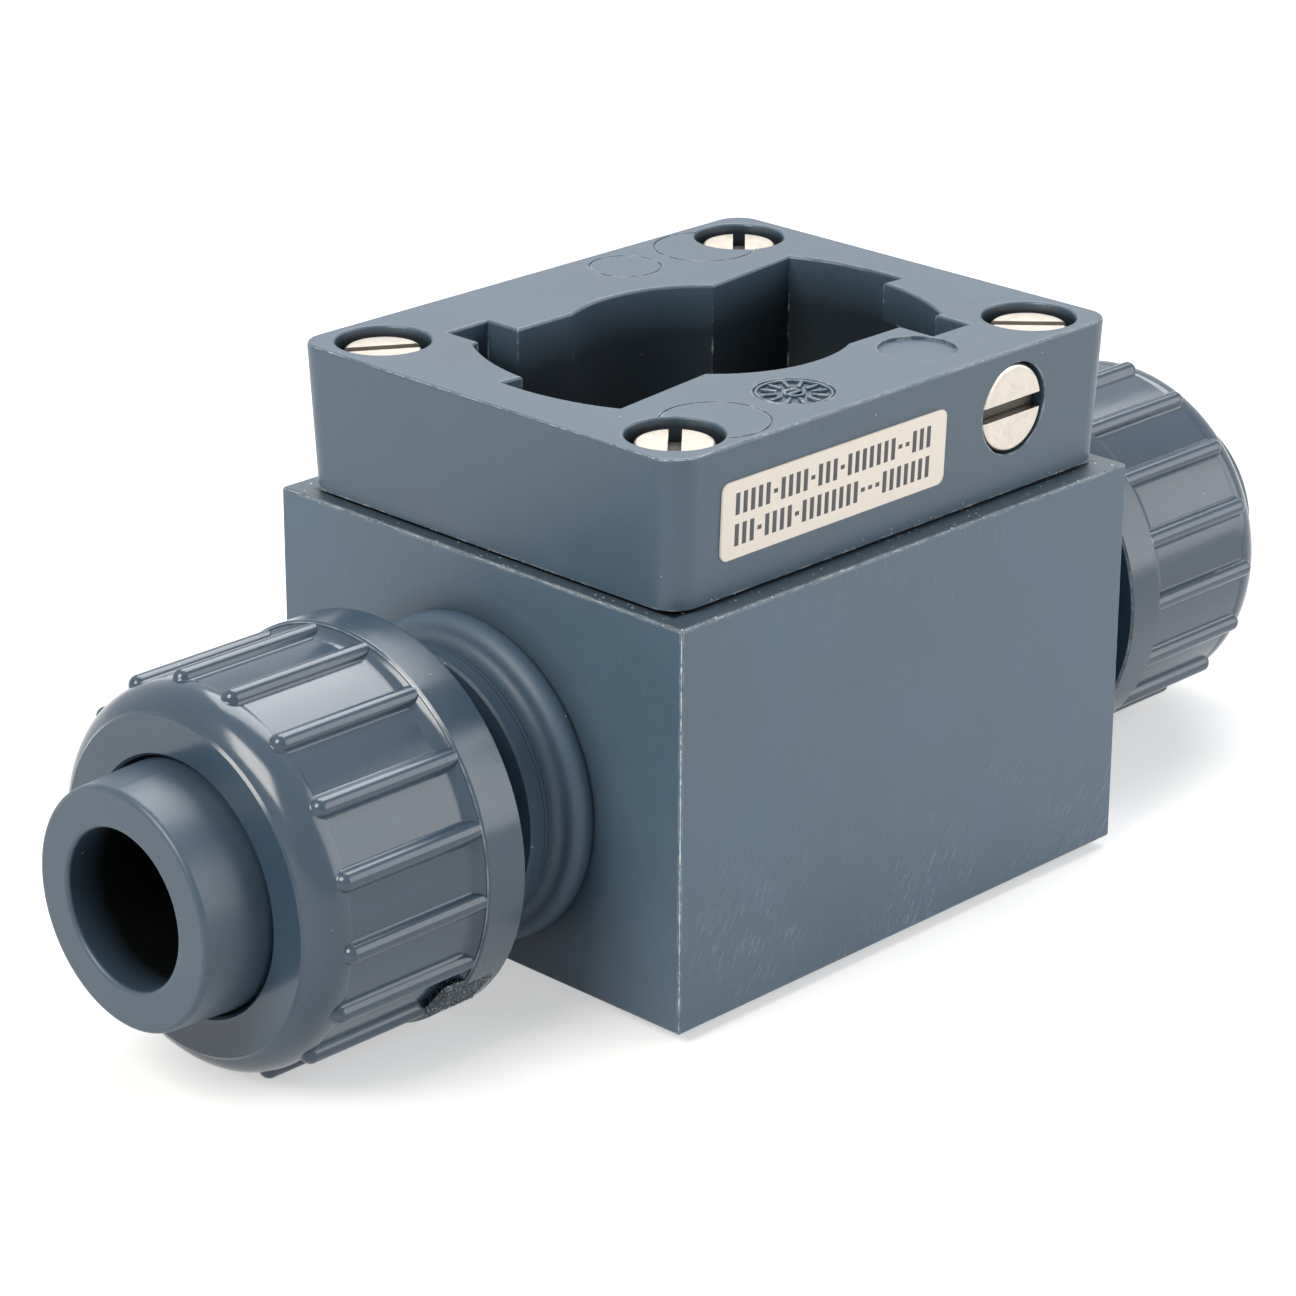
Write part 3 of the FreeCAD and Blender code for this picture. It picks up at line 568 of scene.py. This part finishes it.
def insideMask(tree, halfSize, soft):
    # one within a box on the Z axis, in millimetres, and nought outside it
    x, y, z = splitVector(tree, placeInMm(tree))
    pastX = calc(tree, "SUBTRACT", calc(tree, "ABSOLUTE", x), halfSize[0])
    pastY = calc(tree, "SUBTRACT", calc(tree, "ABSOLUTE", y), halfSize[1])
    return remap(tree, calc(tree, "MAXIMUM", pastX, pastY), soft, -soft), z


def nearTop(tree, place, top, band, toLow=0.0, toHigh=1.0):
    # rises from one distance under a top or outer face to another, in millimetres
    return remap(tree, place, top - band[0], top - band[1], toLow, toHigh)


def alongPipe(tree):
    return calc(tree, "ABSOLUTE", splitVector(tree, placeInMm(tree))["X"])


def fromPipeAxis(tree):
    x, y, z = splitVector(tree, placeInMm(tree))
    across = addNode(tree, "ShaderNodeCombineXYZ",
                     {"X": y, "Y": calc(tree, "SUBTRACT", z, pipeHeight / mm)})
    return lengthOf(tree, across.outputs[0])


def blockSurface(tree):
    look = blockMarksAndShade
    low, high = boxInMm("base_block")
    foot = boxInMm("housing_gasket")[1]
    upright = addEffect(tree, "streaks", Stretch=look["uprightStretch"], Contrast=look["uprightContrast"])
    level = addEffect(tree, "streaks", Stretch=look["levelStretch"], Contrast=look["levelContrast"])
    sweep = addEffect(tree, "sweepMarks", Centre=look["sweepCentre"], Along=(1, 0, 1),
                      Spacing=look["sweepSpacing"], Run=look["sweepRun"], Level=look["sweepLevel"])
    edges = addEffect(tree, "boxEdges", Middle=(low + high) / 2, Half_Size=(high - low) / 2,
                      Reach=look["edgeReach"])
    crumbs = addEffect(tree, "dustSpecks", Scale=look["crumbScale"], Size=look["crumbSize"],
                       Share=look["crumbShare"])
    # painted shade: the block's top ledge is darker, and darkest in the seam under the housing
    margin = look["seamShadeMargin"]
    inside, z = insideMask(tree, (foot.x + margin, foot.y + margin), look["seamShadeSoft"])
    aside = calc(tree, "ABSOLUTE", splitVector(tree, placeInMm(tree))["Y"])
    onTop = nearTop(tree, z, high.z, look["ledge"])
    onSide = nearTop(tree, aside, high.y, look["face"])
    onEnd = nearTop(tree, alongPipe(tree), high.x, look["face"])
    # painted shadow: a dark ring round the bead on the block's end faces, where the bead and nut shade it
    beadShadow = remap(tree, fromPipeAxis(tree), *look["beadShadowReach"], 0.0, look["beadShadowShare"])
    topFade = nearTop(tree, z, high.z, look["topEdge"], 1.0, look["topEdgeShare"])
    sweepFade = remap(tree, z, *look["sweepHeights"], *look["sweepShare"])
    sweptSide = times(tree, times(tree, sweep["Mask"], onSide), sweepFade)
    uprightFade = remap(tree, z, *look["streakHeights"], *look["uprightShare"])
    faintUpright = times(tree, upright["Mask"], uprightFade)
    faintLevel = times(tree, level["Mask"], look["levelShare"])
    return [
        (faintUpright, look["streakColour"], upright["Height"], look["streakDepth"]),
        (faintLevel, look["streakColour"], level["Height"], look["streakDepth"]),
        (sweptSide, look["sweepColour"], sweep["Height"], look["sweepDepth"]),
        (times(tree, onEnd, beadShadow), look["beadShadowColour"], None, 0),
        (onTop, look["ledgeShadeColour"], None, 0),
        (times(tree, onTop, inside), look["seamShadeColour"], None, 0),
        (times(tree, crumbs["Mask"], onTop), dustColour, None, 0),
        (times(tree, edges["Mask"], topFade), look["edgeColour"], None, 0),
    ]


screwAxis = (19.8, 15.45, 0.0)
lockAxis = (12.8, 0.0, 40.2)
housingMarksAndShade = {
    "scuffStretch": (0.5, 3.5, 2.0), "scuffTurn": (0, 0, 0.6), "scuffContrast": 0.5, "scuffShare": 0.4,
    "scuffColour": (0.14, 0.18, 0.215), "scuffDepth": 2.0e-6,
    "rimColour": (0.46, 0.52, 0.56), "rimReach": 0.09, "corner": 2.3,
    # painted shade: the inside colour darkens the walls of the opening and of the counterbores with depth
    "insideShadeColour": (0.009, 0.014, 0.019), "wall": 1.6, "wallSoft": 0.1, "depths": (0.2, 4.0),
    "insideShadeShare": 0.92, "boreReach": 3.95, "boreDepths": (0.1, 0.7), "boreShadeShare": 0.9,
    "crumbScale": 2.2, "crumbSize": 0.18, "crumbShare": 0.4,
    "crumbHeights": (1.2, 0.2),
}


def housingSurface(tree):
    look = housingMarksAndShade
    low, high = boxInMm("sensor_housing")
    scuffs = addEffect(tree, "streaks", Stretch=look["scuffStretch"], Turn=look["scuffTurn"],
                       Contrast=look["scuffContrast"])
    faint = times(tree, scuffs["Mask"], look["scuffShare"])
    corner = look["corner"]
    rim = addEffect(tree, "rimWear", Inner_Size=(high.x - corner, high.y - corner, 0), Corner=corner,
                    Top=high.z, Reach=look["rimReach"])
    crumbs = addEffect(tree, "dustSpecks", Scale=look["crumbScale"], Size=look["crumbSize"],
                       Share=look["crumbShare"])
    # painted shade deep in the opening and in the screw counterbores
    wall = look["wall"]
    inside, z = insideMask(tree, (high.x - wall, high.y - wall), look["wallSoft"])
    sunk = nearTop(tree, z, high.z, look["depths"], 0.0, look["insideShadeShare"])
    deepShade = times(tree, inside, sunk)
    fromScrew = vectorCalc(tree, "SUBTRACT", vectorCalc(tree, "ABSOLUTE", placeInMm(tree)), screwAxis)
    reach = lengthOf(tree, vectorCalc(tree, "MULTIPLY", fromScrew, (1, 1, 0)))
    boreShade = times(tree, calc(tree, "LESS_THAN", reach, look["boreReach"]),
                   nearTop(tree, z, high.z, look["boreDepths"], 0.0, look["boreShadeShare"]))
    above, below = look["crumbHeights"]
    nearSeam = times(tree, crumbs["Mask"], remap(tree, z, low.z + above, low.z + below))
    return [
        (faint, look["scuffColour"], scuffs["Height"], look["scuffDepth"]),
        (calc(tree, "MAXIMUM", deepShade, boreShade), look["insideShadeColour"], None, 0),
        (nearSeam, dustColour, None, 0),
        (rim["Mask"], look["rimColour"], None, 0),
    ]


nutMarksAndHighlights = {
    "ringStretch": (7.0, 0.12, 0.12), "ringContrast": 0.8, "ringShare": 0.35,
    "ringDepth": 3.0e-6, "ringColour": (0.080, 0.110, 0.140),
    "collar": (34.9, 38.5), "collarSoft": 0.2, "collarStretch": (4.5, 0.02, 0.02), "collarDepth": 1.6e-5,
    # painted highlight: the edge lines are light lines on the collar's edges
    "edges": (34.95, 38.58), "highlightWidth": 0.09, "highlightRadius": 15.3, "edgeColour": (0.20, 0.26, 0.32),
    "highlightPatches": (0.6, 2.0, 0.6), "highlightLevels": (0.42, 0.6), "highlightShare": (0.15, 0.8),
}


def nutSurface(tree):
    look = nutMarksAndHighlights
    rings = addEffect(tree, "streaks", Stretch=look["ringStretch"], Contrast=look["ringContrast"])
    faint = times(tree, rings["Mask"], look["ringShare"])
    return [(faint, look["ringColour"], rings["Height"], look["ringDepth"])]


def collarSurface(tree):
    # a nut has tool lines round its collar, and a patchy painted highlight runs along its collar's edges
    look = nutMarksAndHighlights
    lines = addEffect(tree, "streaks", Stretch=look["collarStretch"], Contrast=1.0)
    rear, front = look["collar"]
    soft = look["collarSoft"]
    place = alongPipe(tree)
    onCollar = times(tree, remap(tree, place, rear, rear + soft),
                     remap(tree, place, front, front - soft))
    patches = noiseValue(tree, placeInMm(tree), *look["highlightPatches"])
    patchyHighlight = remap(tree, patches, *look["highlightLevels"], *look["highlightShare"])
    outer = calc(tree, "GREATER_THAN", fromPipeAxis(tree), look["highlightRadius"])
    layers = nutSurface(tree)
    layers.append((None, None, times(tree, lines["Height"], onCollar), look["collarDepth"]))
    # painted highlight: a patchy light line along each edge of the collar
    for edge in look["edges"]:
        away = calc(tree, "ABSOLUTE", calc(tree, "SUBTRACT", place, edge))
        line = remap(tree, away, look["highlightWidth"], look["highlightWidth"] / 2)
        worn = times(tree, times(tree, line, outer), patchyHighlight)
        layers.append((worn, look["edgeColour"], None, 0))
    return layers


neckLinesAndShade = {
    # colour serves the painted shade in the valley and at the bead's foot, and the scored lines
    "lines": (28.35, 28.7), "width": 0.1, "depth": 2.0e-5, "colour": (0.018, 0.036, 0.058),
    "valley": 27.75, "valleyReach": (0.8, 0.1), "valleyShadeShare": 0.4, "foot": (25.8, 25.35), "footShadeShare": 0.8,
}


def neckSurface(tree):
    # painted shade lies in the valley behind the bead and at its foot, and two fine lines are scored round
    # the neck
    look = neckLinesAndShade
    place = alongPipe(tree)
    # painted shade in the valley behind the bead and at its foot
    fromValley = calc(tree, "ABSOLUTE", calc(tree, "SUBTRACT", place, look["valley"]))
    valley = remap(tree, fromValley, *look["valleyReach"], 0.0, look["valleyShadeShare"])
    foot = remap(tree, place, *look["foot"], 0.0, look["footShadeShare"])
    layers = nutSurface(tree)
    layers.append((calc(tree, "MAXIMUM", valley, foot), look["colour"], None, 0))
    for line in look["lines"]:
        away = calc(tree, "ABSOLUTE", calc(tree, "SUBTRACT", place, line))
        scored = remap(tree, away, look["width"], 0.0)
        layers.append((scored, look["colour"], calc(tree, "SUBTRACT", 1.0, scored), look["depth"]))
    return layers


tornMarks = {
    "light": (0.30, 0.36, 0.40), "lightLevels": (0.56, 0.62), "dark": (0.006, 0.009, 0.012),
    "darkLevels": (0.50, 0.44), "crumbs": (5.0, 3.0, 0.7), "depth": 6.0e-5,
}


def tornSurface(tree):
    # a fracture, pale on its crumbs and dark between them
    look = tornMarks
    crumbs = noiseValue(tree, placeInMm(tree), *look["crumbs"])
    return [(remap(tree, crumbs, *look["darkLevels"]), look["dark"], None, 0),
            (remap(tree, crumbs, *look["lightLevels"]), look["light"], crumbs, look["depth"])]


# painted shade deep in the union end's socket
socketShade = {"bore": 6.3, "mouth": 59.4, "fade": 3.2, "colour": (0.001, 0.0015, 0.002)}


def unionEndSurface(tree):
    # the socket is painted darker with depth, a painted shade deep in the bore
    look = socketShade
    bore = calc(tree, "LESS_THAN", fromPipeAxis(tree), look["bore"])
    depth = remap(tree, alongPipe(tree), look["mouth"], look["mouth"] - look["fade"])
    return nutSurface(tree) + [(times(tree, bore, depth), look["colour"], None, 0)]


brass = {"colour": (0.70, 0.52, 0.26), "dark": (0.45, 0.32, 0.15), "roughness": (0.25, 0.42)}
steelLooks = {
    "coverScrewSteel": {"colour": (0.64, 0.585, 0.51), "dark": (0.36, 0.32, 0.28), "roughness": (0.28, 0.46),
                        "centre": screwAxis, "across": (1, 1, 0), "spacing": 9.0, "depth": 4.0e-6},
    "lockScrewSteel": {"colour": (0.58, 0.53, 0.47), "dark": (0.38, 0.34, 0.30), "roughness": (0.20, 0.38),
                       "centre": lockAxis, "across": (1, 0, 1), "spacing": 10.0, "depth": 4.0e-6},
    "washerSteel": {"colour": (0.62, 0.60, 0.57), "dark": (0.42, 0.40, 0.38), "roughness": (0.28, 0.42),
                    "centre": lockAxis, "across": (1, 0, 1), "spacing": 7.0, "depth": 3.0e-6},
    "lockBrass": {**brass, "centre": lockAxis, "across": (1, 0, 1), "spacing": 7.0, "depth": 4.0e-6},
    "insertBrass": {**brass, "centre": screwAxis, "across": (1, 1, 0), "spacing": 7.0, "depth": 4.0e-6},
    "magnetMetal": {"colour": (0.36, 0.36, 0.35), "dark": (0.20, 0.20, 0.20), "roughness": (0.40, 0.60),
                    "centre": (0.0, 0.0, 20.0), "across": (1, 0, 1), "spacing": 6.0, "depth": 3.0e-6},
}
steelSurface = {
    "skin": {"Grain_Scale": 7.0, "Ripple": 0.4}, "skinDepth": 1.5e-6,
    "wear": {"Radius": 0.00015, "Start": 0.05, "Full": 0.4, "Patch_Level": 0.45}, "wornShade": 1.15,
    "stainBand": (0.3, 0.9), "stainShare": 0.4,
    "blotches": (0.9, 4.0, 0.7), "blotchBand": (0.42, 0.72), "blotchShare": 0.5,
    # the slot colour is painted shade
    "ringBand": (0.3, 0.7), "slotShadeColour": (0.10, 0.095, 0.085), "slotRoughness": 0.6,
}
slotShadeLooks = {
    # which way a head faces and how deep its slot's painted shade begins, in millimetres
    "coverScrewSteel": {"node": "cover_screws", "facing": "Z", "start": 0.45, "full": 0.9},
    "lockScrewSteel": {"node": "lock_screw", "facing": "Y", "start": 0.45, "full": 0.9},
}


def slotShadeMask(tree, name):
    look = slotShadeLooks[name]
    place = splitVector(tree, placeInMm(tree))[look["facing"]]
    low, high = boxInMm(look["node"])
    if look["facing"] == "Z":
        return remap(tree, place, high.z - look["start"], high.z - look["full"])
    return remap(tree, place, low.y + look["start"], low.y + look["full"])


def makeSteel(name):
    look = steelLooks[name]
    surface = steelSurface
    material, tree, shader = startMaterial(name)
    rings = addEffect(tree, "turnedRings", Centre=look["centre"], Across=look["across"],
                      Spacing=look["spacing"])
    skin = addEffect(tree, "mouldedSkin", **surface["skin"])
    wear = addEffect(tree, "edgeWear", **surface["wear"])
    stain = remap(tree, skin["Mottle"], *surface["stainBand"])
    blotches = remap(tree, noiseValue(tree, placeInMm(tree), *surface["blotches"]), *surface["blotchBand"])
    dirt = calc(tree, "MAXIMUM", times(tree, stain, surface["stainShare"]),
                times(tree, blotches, surface["blotchShare"]))
    colour = mixColours(tree, dirt, look["colour"], look["dark"])
    colour = mixColours(tree, wear["Mask"], colour, shade(look["colour"], surface["wornShade"]))
    rough = remap(tree, rings["Height"], *surface["ringBand"], *look["roughness"])
    if name in slotShadeLooks:
        # painted shade: the slot floor is darker
        slotShade = slotShadeMask(tree, name)
        colour = mixColours(tree, slotShade, colour, surface["slotShadeColour"])
        rough = calc(tree, "MAXIMUM", rough, times(tree, slotShade, surface["slotRoughness"]))
    tree.links.new(colour, shader.inputs["Base Color"])
    shader.inputs["Metallic"].default_value = 1.0
    tree.links.new(rough, shader.inputs["Roughness"])
    addBump(tree, shader, [(skin["Height"], surface["skinDepth"]), (rings["Height"], look["depth"])])
    return material


labelLook = {
    "colour": (0.86, 0.78, 0.69), "stain": (0.72, 0.65, 0.58), "skin": {"Grain_Scale": 3.0, "Ripple": 1.0},
    "wear": {"Radius": 0.0004, "Start": 0.02, "Full": 0.3, "Patch_Level": 0.42},
    "mottleShare": 0.25, "wornShare": 0.5, "roughness": (0.42, 0.6), "depth": 3.0e-6,
}
inkLook = {
    "colour": (0.040, 0.043, 0.050), "palerShade": 2.2, "skin": {"Grain_Scale": 9.0, "Ripple": 0.0},
    "roughness": (0.5, 0.7), "depth": 2.0e-6,
}


def makeLabelFilm():
    look = labelLook
    material, tree, shader = startMaterial("labelFilm")
    skin = addEffect(tree, "mouldedSkin", **look["skin"])
    wear = addEffect(tree, "edgeWear", **look["wear"])
    mottled = times(tree, skin["Mottle"], look["mottleShare"])
    worn = times(tree, wear["Mask"], look["wornShare"])
    colour = mixColours(tree, mottled, look["colour"], look["stain"])
    colour = mixColours(tree, worn, colour, look["stain"])
    tree.links.new(colour, shader.inputs["Base Color"])
    tree.links.new(remap(tree, skin["Mottle"], 0.0, 1.0, *look["roughness"]), shader.inputs["Roughness"])
    addBump(tree, shader, [(skin["Height"], look["depth"])])
    return material


def makePrintInk():
    look = inkLook
    material, tree, shader = startMaterial("printInk")
    skin = addEffect(tree, "mouldedSkin", **look["skin"])
    colour = mixColours(tree, skin["Mottle"], look["colour"], shade(look["colour"], look["palerShade"]))
    tree.links.new(colour, shader.inputs["Base Color"])
    tree.links.new(remap(tree, skin["Mottle"], 0.0, 1.0, *look["roughness"]), shader.inputs["Roughness"])
    addBump(tree, shader, [(skin["Height"], look["depth"])])
    return material


surfaceMarksAndPaintedLight = {
    "blockPvc": blockSurface, "housingPvc": housingSurface, "nutPvc": collarSurface, "tornPvc": tornSurface,
    "unionEndPvc": unionEndSurface, "bushPvc": neckSurface,
}
materials = {}
for plasticName in plasticLooks:
    materials[plasticName] = makePlastic(plasticName, surfaceMarksAndPaintedLight.get(plasticName))
materials["labelFilm"] = makeLabelFilm()
materials["printInk"] = makePrintInk()
for steelName in steelLooks:
    materials[steelName] = makeSteel(steelName)

nodeMaterials = {
    "base_block": "blockPvc", "sensor_housing": "housingPvc", "housing_gasket": "sealRubber",
    "cover_screws": "coverScrewSteel", "screw_inserts": "insertBrass", "lock_screw": "lockScrewSteel",
    "lock_washer": "washerSteel", "lock_insert": "lockBrass", "label": "labelFilm",
    "wheel_holder": "holderShadePvc", "holder_seal": "sealRubber", "front_bearing": "bearingCeramic",
    "rear_bearing": "bearingCeramic", "wheel_axle": "bearingCeramic", "paddle_wheel": "wheelPlastic",
    "wheel_magnets": "magnetMetal",
    "left_union_bush": "bushPvc", "right_union_bush": "bushPvc",
    "left_face_seal": "sealRubber", "right_face_seal": "sealRubber",
    "left_union_nut": "nutPvc", "right_union_nut": "nutPvc",
    "left_union_end": "unionEndPvc", "right_union_end": "unionEndPvc",
}
for nodeName, materialName in nodeMaterials.items():
    for materialSlot in nodes[nodeName].material_slots:
        materialSlot.material = materials[materialName]
print("materials ready:", len(materials))


def clearSelection():
    if bpy.context.mode != "OBJECT":
        bpy.ops.object.mode_set(mode="OBJECT")
    bpy.ops.object.select_all(action="DESELECT")


def selectOnly(*pieces):
    clearSelection()
    for piece in pieces:
        piece.select_set(True)
    bpy.context.view_layer.objects.active = pieces[0]


def settle(piece):
    # the place goes into the mesh and the object stays at the origin
    selectOnly(piece)
    bpy.ops.object.transform_apply(location=True, rotation=True, scale=True)


def applyModifier(piece, kind, **settings):
    selectOnly(piece)
    modifier = piece.modifiers.new(kind.lower(), kind)
    for key, value in settings.items():
        setattr(modifier, key, value)
    bpy.ops.object.modifier_apply(modifier=modifier.name)


def cleanMesh(piece, distance=1e-7):
    selectOnly(piece)
    bpy.ops.object.mode_set(mode="EDIT")
    bpy.ops.mesh.select_all(action="SELECT")
    bpy.ops.mesh.remove_doubles(threshold=distance)
    bpy.ops.mesh.normals_make_consistent(inside=False)
    bpy.ops.object.mode_set(mode="OBJECT")


def joinPieces(name, pieces):
    selectOnly(*pieces)
    if len(pieces) > 1:
        bpy.ops.object.join()
    piece = bpy.context.view_layer.objects.active
    piece.name = name
    piece.data.name = name
    return piece


def finishPiece(piece, body, materialName, smoothAngle=35):
    cleanMesh(piece)
    selectOnly(piece)
    bpy.ops.object.shade_smooth_by_angle(angle=math.radians(smoothAngle))
    piece.data.materials.clear()
    piece.data.materials.append(materials[materialName])
    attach(piece, body)


def turnPiece(piece, axis, degrees, centre):
    # with no window the operator turns the other way, so the angle is negated
    selectOnly(piece)
    bpy.ops.object.mode_set(mode="EDIT")
    bpy.ops.mesh.select_all(action="SELECT")
    bpy.ops.transform.rotate(value=-math.radians(degrees), orient_axis=axis, center_override=centre)
    bpy.ops.object.mode_set(mode="OBJECT")


def chamferedBar(size, place, bevel):
    # a bar along X with its edges broken, at a place
    clearSelection()
    bpy.ops.mesh.primitive_cube_add(size=1, location=place)
    bar = bpy.context.object
    bar.scale = size
    settle(bar)
    applyModifier(bar, "BEVEL", width=bevel, segments=2, limit_method="ANGLE")
    return bar


threadLook = {
    "start": 36.1 * mm, "end": 45.2 * mm, "pitch": 2.0 * mm, "root": 11.75 * mm, "crest": 12.35 * mm,
    "rootWidth": 1.5 * mm, "crestWidth": 0.3 * mm, "stepsPerTurn": 64,
}


def makeThread(name, side):
    # a ridge section wound round the bush and closed at its ends
    look = threadLook
    clearSelection()
    bpy.ops.mesh.primitive_plane_add(size=1)
    ridge = bpy.context.object
    corners = [(-0.5, look["root"], look["rootWidth"]), (0.5, look["root"], look["rootWidth"]),
               (0.5, look["crest"], look["crestWidth"]), (-0.5, look["crest"], look["crestWidth"])]
    order = sorted(ridge.data.vertices, key=lambda v: math.atan2(v.co.y, v.co.x))
    for vertex, (across, radius, width) in zip(order, corners):
        vertex.co = (look["start"] + across * width, 0, radius)
    turns = (look["end"] - look["start"]) / look["pitch"]
    bpy.ops.object.mode_set(mode="EDIT")
    bpy.ops.mesh.select_all(action="SELECT")
    bpy.ops.mesh.delete(type="ONLY_FACE")
    bpy.ops.object.mode_set(mode="OBJECT")
    steps = int(look["stepsPerTurn"] * turns)
    applyModifier(ridge, "SCREW", axis="X", angle=2 * math.pi * turns, iterations=1,
                  screw_offset=look["end"] - look["start"], steps=steps, render_steps=steps,
                  use_smooth_shade=False)
    selectOnly(ridge)
    bpy.ops.object.mode_set(mode="EDIT")
    bpy.ops.mesh.select_all(action="DESELECT")
    bpy.ops.mesh.select_non_manifold(extend=False, use_wire=False, use_boundary=True, use_multi_face=False,
                                     use_non_contiguous=False, use_verts=False)
    bpy.ops.mesh.edge_face_add()
    bpy.ops.object.mode_set(mode="OBJECT")
    ridge.location.z = pipeHeight
    settle(ridge)
    if side == "left":
        ridge.rotation_euler.z = math.pi
        settle(ridge)
    joinPieces(name, [ridge])
    finishPiece(ridge, "fitting", "bushPvc")


for sideName in ("left", "right"):
    makeThread(sideName + "UnionThread", sideName)
print("union threads ready")


dialLook = {
    "centre": (-6.8 * mm, -15.1 * mm), "radius": 2.95 * mm, "rim": 0.22 * mm, "hub": 0.85 * mm,
    "tickInner": 1.35 * mm, "tickOuter": 2.55 * mm, "tickWidth": 0.26 * mm, "ticks": 12,
    "depth": 0.22 * mm, "below": 0.02 * mm, "edge": 0.04 * mm, "hubSegments": 36, "pointerWidth": 1.3,
}


def makeRing(radius, width, low, high, centre, segments=72):
    # a flat ring with square edges, made by extruding an inset circle
    clearSelection()
    bpy.ops.mesh.primitive_circle_add(vertices=segments, radius=radius, fill_type="NGON",
                                      location=(centre[0], centre[1], low))
    ring = bpy.context.object
    settle(ring)
    bpy.ops.object.mode_set(mode="EDIT")
    bpy.ops.mesh.select_all(action="SELECT")
    bpy.ops.mesh.inset(thickness=width)
    bpy.ops.mesh.delete(type="FACE")
    bpy.ops.mesh.select_all(action="SELECT")
    bpy.ops.mesh.extrude_region_move(TRANSFORM_OT_translate={"value": (0, 0, high - low)})
    bpy.ops.object.mode_set(mode="OBJECT")
    cleanMesh(ring)
    return ring


def makeDial():
    # a plain dial of ticks, sunk in its round recess
    look = dialLook
    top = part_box("sensor_housing")[1].z
    low = top - look["depth"]
    high = top - look["below"]
    x, y = look["centre"]
    parts = [makeRing(look["radius"], look["rim"], low, high, (x, y)),
             makeRing(look["hub"], look["rim"], low, high, (x, y), look["hubSegments"])]
    length = look["tickOuter"] - look["tickInner"]
    middle = (look["tickOuter"] + look["tickInner"]) / 2
    for index in range(look["ticks"]):
        tick = chamferedBar((length, look["tickWidth"], high - low), (x + middle, y, (low + high) / 2),
                            look["edge"])
        turnPiece(tick, "Z", 360 * index / look["ticks"], (x, y, 0))
        parts.append(tick)
    pointer = chamferedBar((2 * look["hub"], look["tickWidth"] * look["pointerWidth"], high - low),
                           (x, y, (low + high) / 2), look["edge"])
    parts.append(pointer)
    for ring in parts[:2]:
        applyModifier(ring, "BEVEL", width=look["edge"], segments=2, limit_method="ANGLE")
    dial = joinPieces("mouldDial", parts)
    finishPiece(dial, "fitting", "housingPvc")


makeDial()
print("moulded dial ready")


printLook = {
    "barWidth": 0.44 * mm, "barHeight": 1.7 * mm, "barStep": 0.8 * mm, "thickness": 0.02 * mm,
    "rows": [
        {"up": 1.2 * mm, "start": 1.6 * mm, "groups": (5, 1, 4, 1, 3, 1, 7, 2, 3)},
        {"up": -1.2 * mm, "start": 1.6 * mm, "groups": (3, 1, 4, 1, 8, 3, 7)},
    ],
    "lean": 2.2, "sunk": 0.12 * mm, "edge": 0.005 * mm, "dashHeight": 0.2,
}


def makePrint():
    # rows of plain bars, tall in the groups and short between them
    look = printLook
    low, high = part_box("label")
    middleZ = (low.z + high.z) / 2
    faceY = low.y + look["sunk"]
    parts = []
    for row in look["rows"]:
        x = low.x + row["start"]
        for position, count in enumerate(row["groups"]):
            tall = position % 2 == 0
            height = look["barHeight"] * (1 if tall else look["dashHeight"])
            bar = chamferedBar((look["barWidth"], look["thickness"], height),
                               (x, faceY, middleZ + row["up"]), look["edge"])
            applyModifier(bar, "ARRAY", count=count, use_relative_offset=False, use_constant_offset=True,
                          constant_offset_displace=(look["barStep"], 0, 0))
            parts.append(bar)
            x += look["barStep"] * count
    rows = joinPieces("labelPrint", parts)
    turnPiece(rows, "X", look["lean"], (0, faceY, middleZ))
    finishPiece(rows, "fitting", "printInk")


makePrint()
print("label print ready")


gateLook = {
    "start": -40.6 * mm, "end": -35.4 * mm, "arc": 4.2 * mm, "radius": 15.5 * mm, "angle": 221.0,
    "height": 1.2 * mm, "roughness": 0.14 * mm, "lumpScale": 0.32 * mm, "lumpDepth": 3, "cuts": (96, 78),
    "rimWidth": 0.7 * mm, "rimDrop": 0.5 * mm, "level": 0.35,
}


def makeGateMark():
    # a lumpy patch whose rim sinks into the collar
    look = gateLook
    length = look["end"] - look["start"]
    clearSelection()
    bpy.ops.mesh.primitive_grid_add(x_subdivisions=look["cuts"][0], y_subdivisions=look["cuts"][1], size=1)
    patch = bpy.context.object
    patch.scale = (length, look["arc"], 1)
    settle(patch)
    lumps = bpy.data.textures.new("gateLumps", "CLOUDS")
    lumps.noise_scale = look["lumpScale"]
    lumps.noise_depth = look["lumpDepth"]
    applyModifier(patch, "DISPLACE", texture=lumps, strength=look["roughness"] * 2,
                  mid_level=look["level"], texture_coords="LOCAL")
    for vertex in patch.data.vertices:
        inward = min(length / 2 - abs(vertex.co.x), look["arc"] / 2 - abs(vertex.co.y))
        vertex.co.z -= look["rimDrop"] * max(0.0, 1 - inward / look["rimWidth"]) ** 2
    applyModifier(patch, "SOLIDIFY", thickness=look["height"], offset=-1)
    patch.location = ((look["start"] + look["end"]) / 2, 0, pipeHeight + look["radius"])
    settle(patch)
    turnPiece(patch, "X", look["angle"] - 90, (0, 0, pipeHeight))
    joinPieces("gateMark", [patch])
    finishPiece(patch, "left_nut", "tornPvc")


makeGateMark()
print("gate mark ready")

print("all pieces ready")
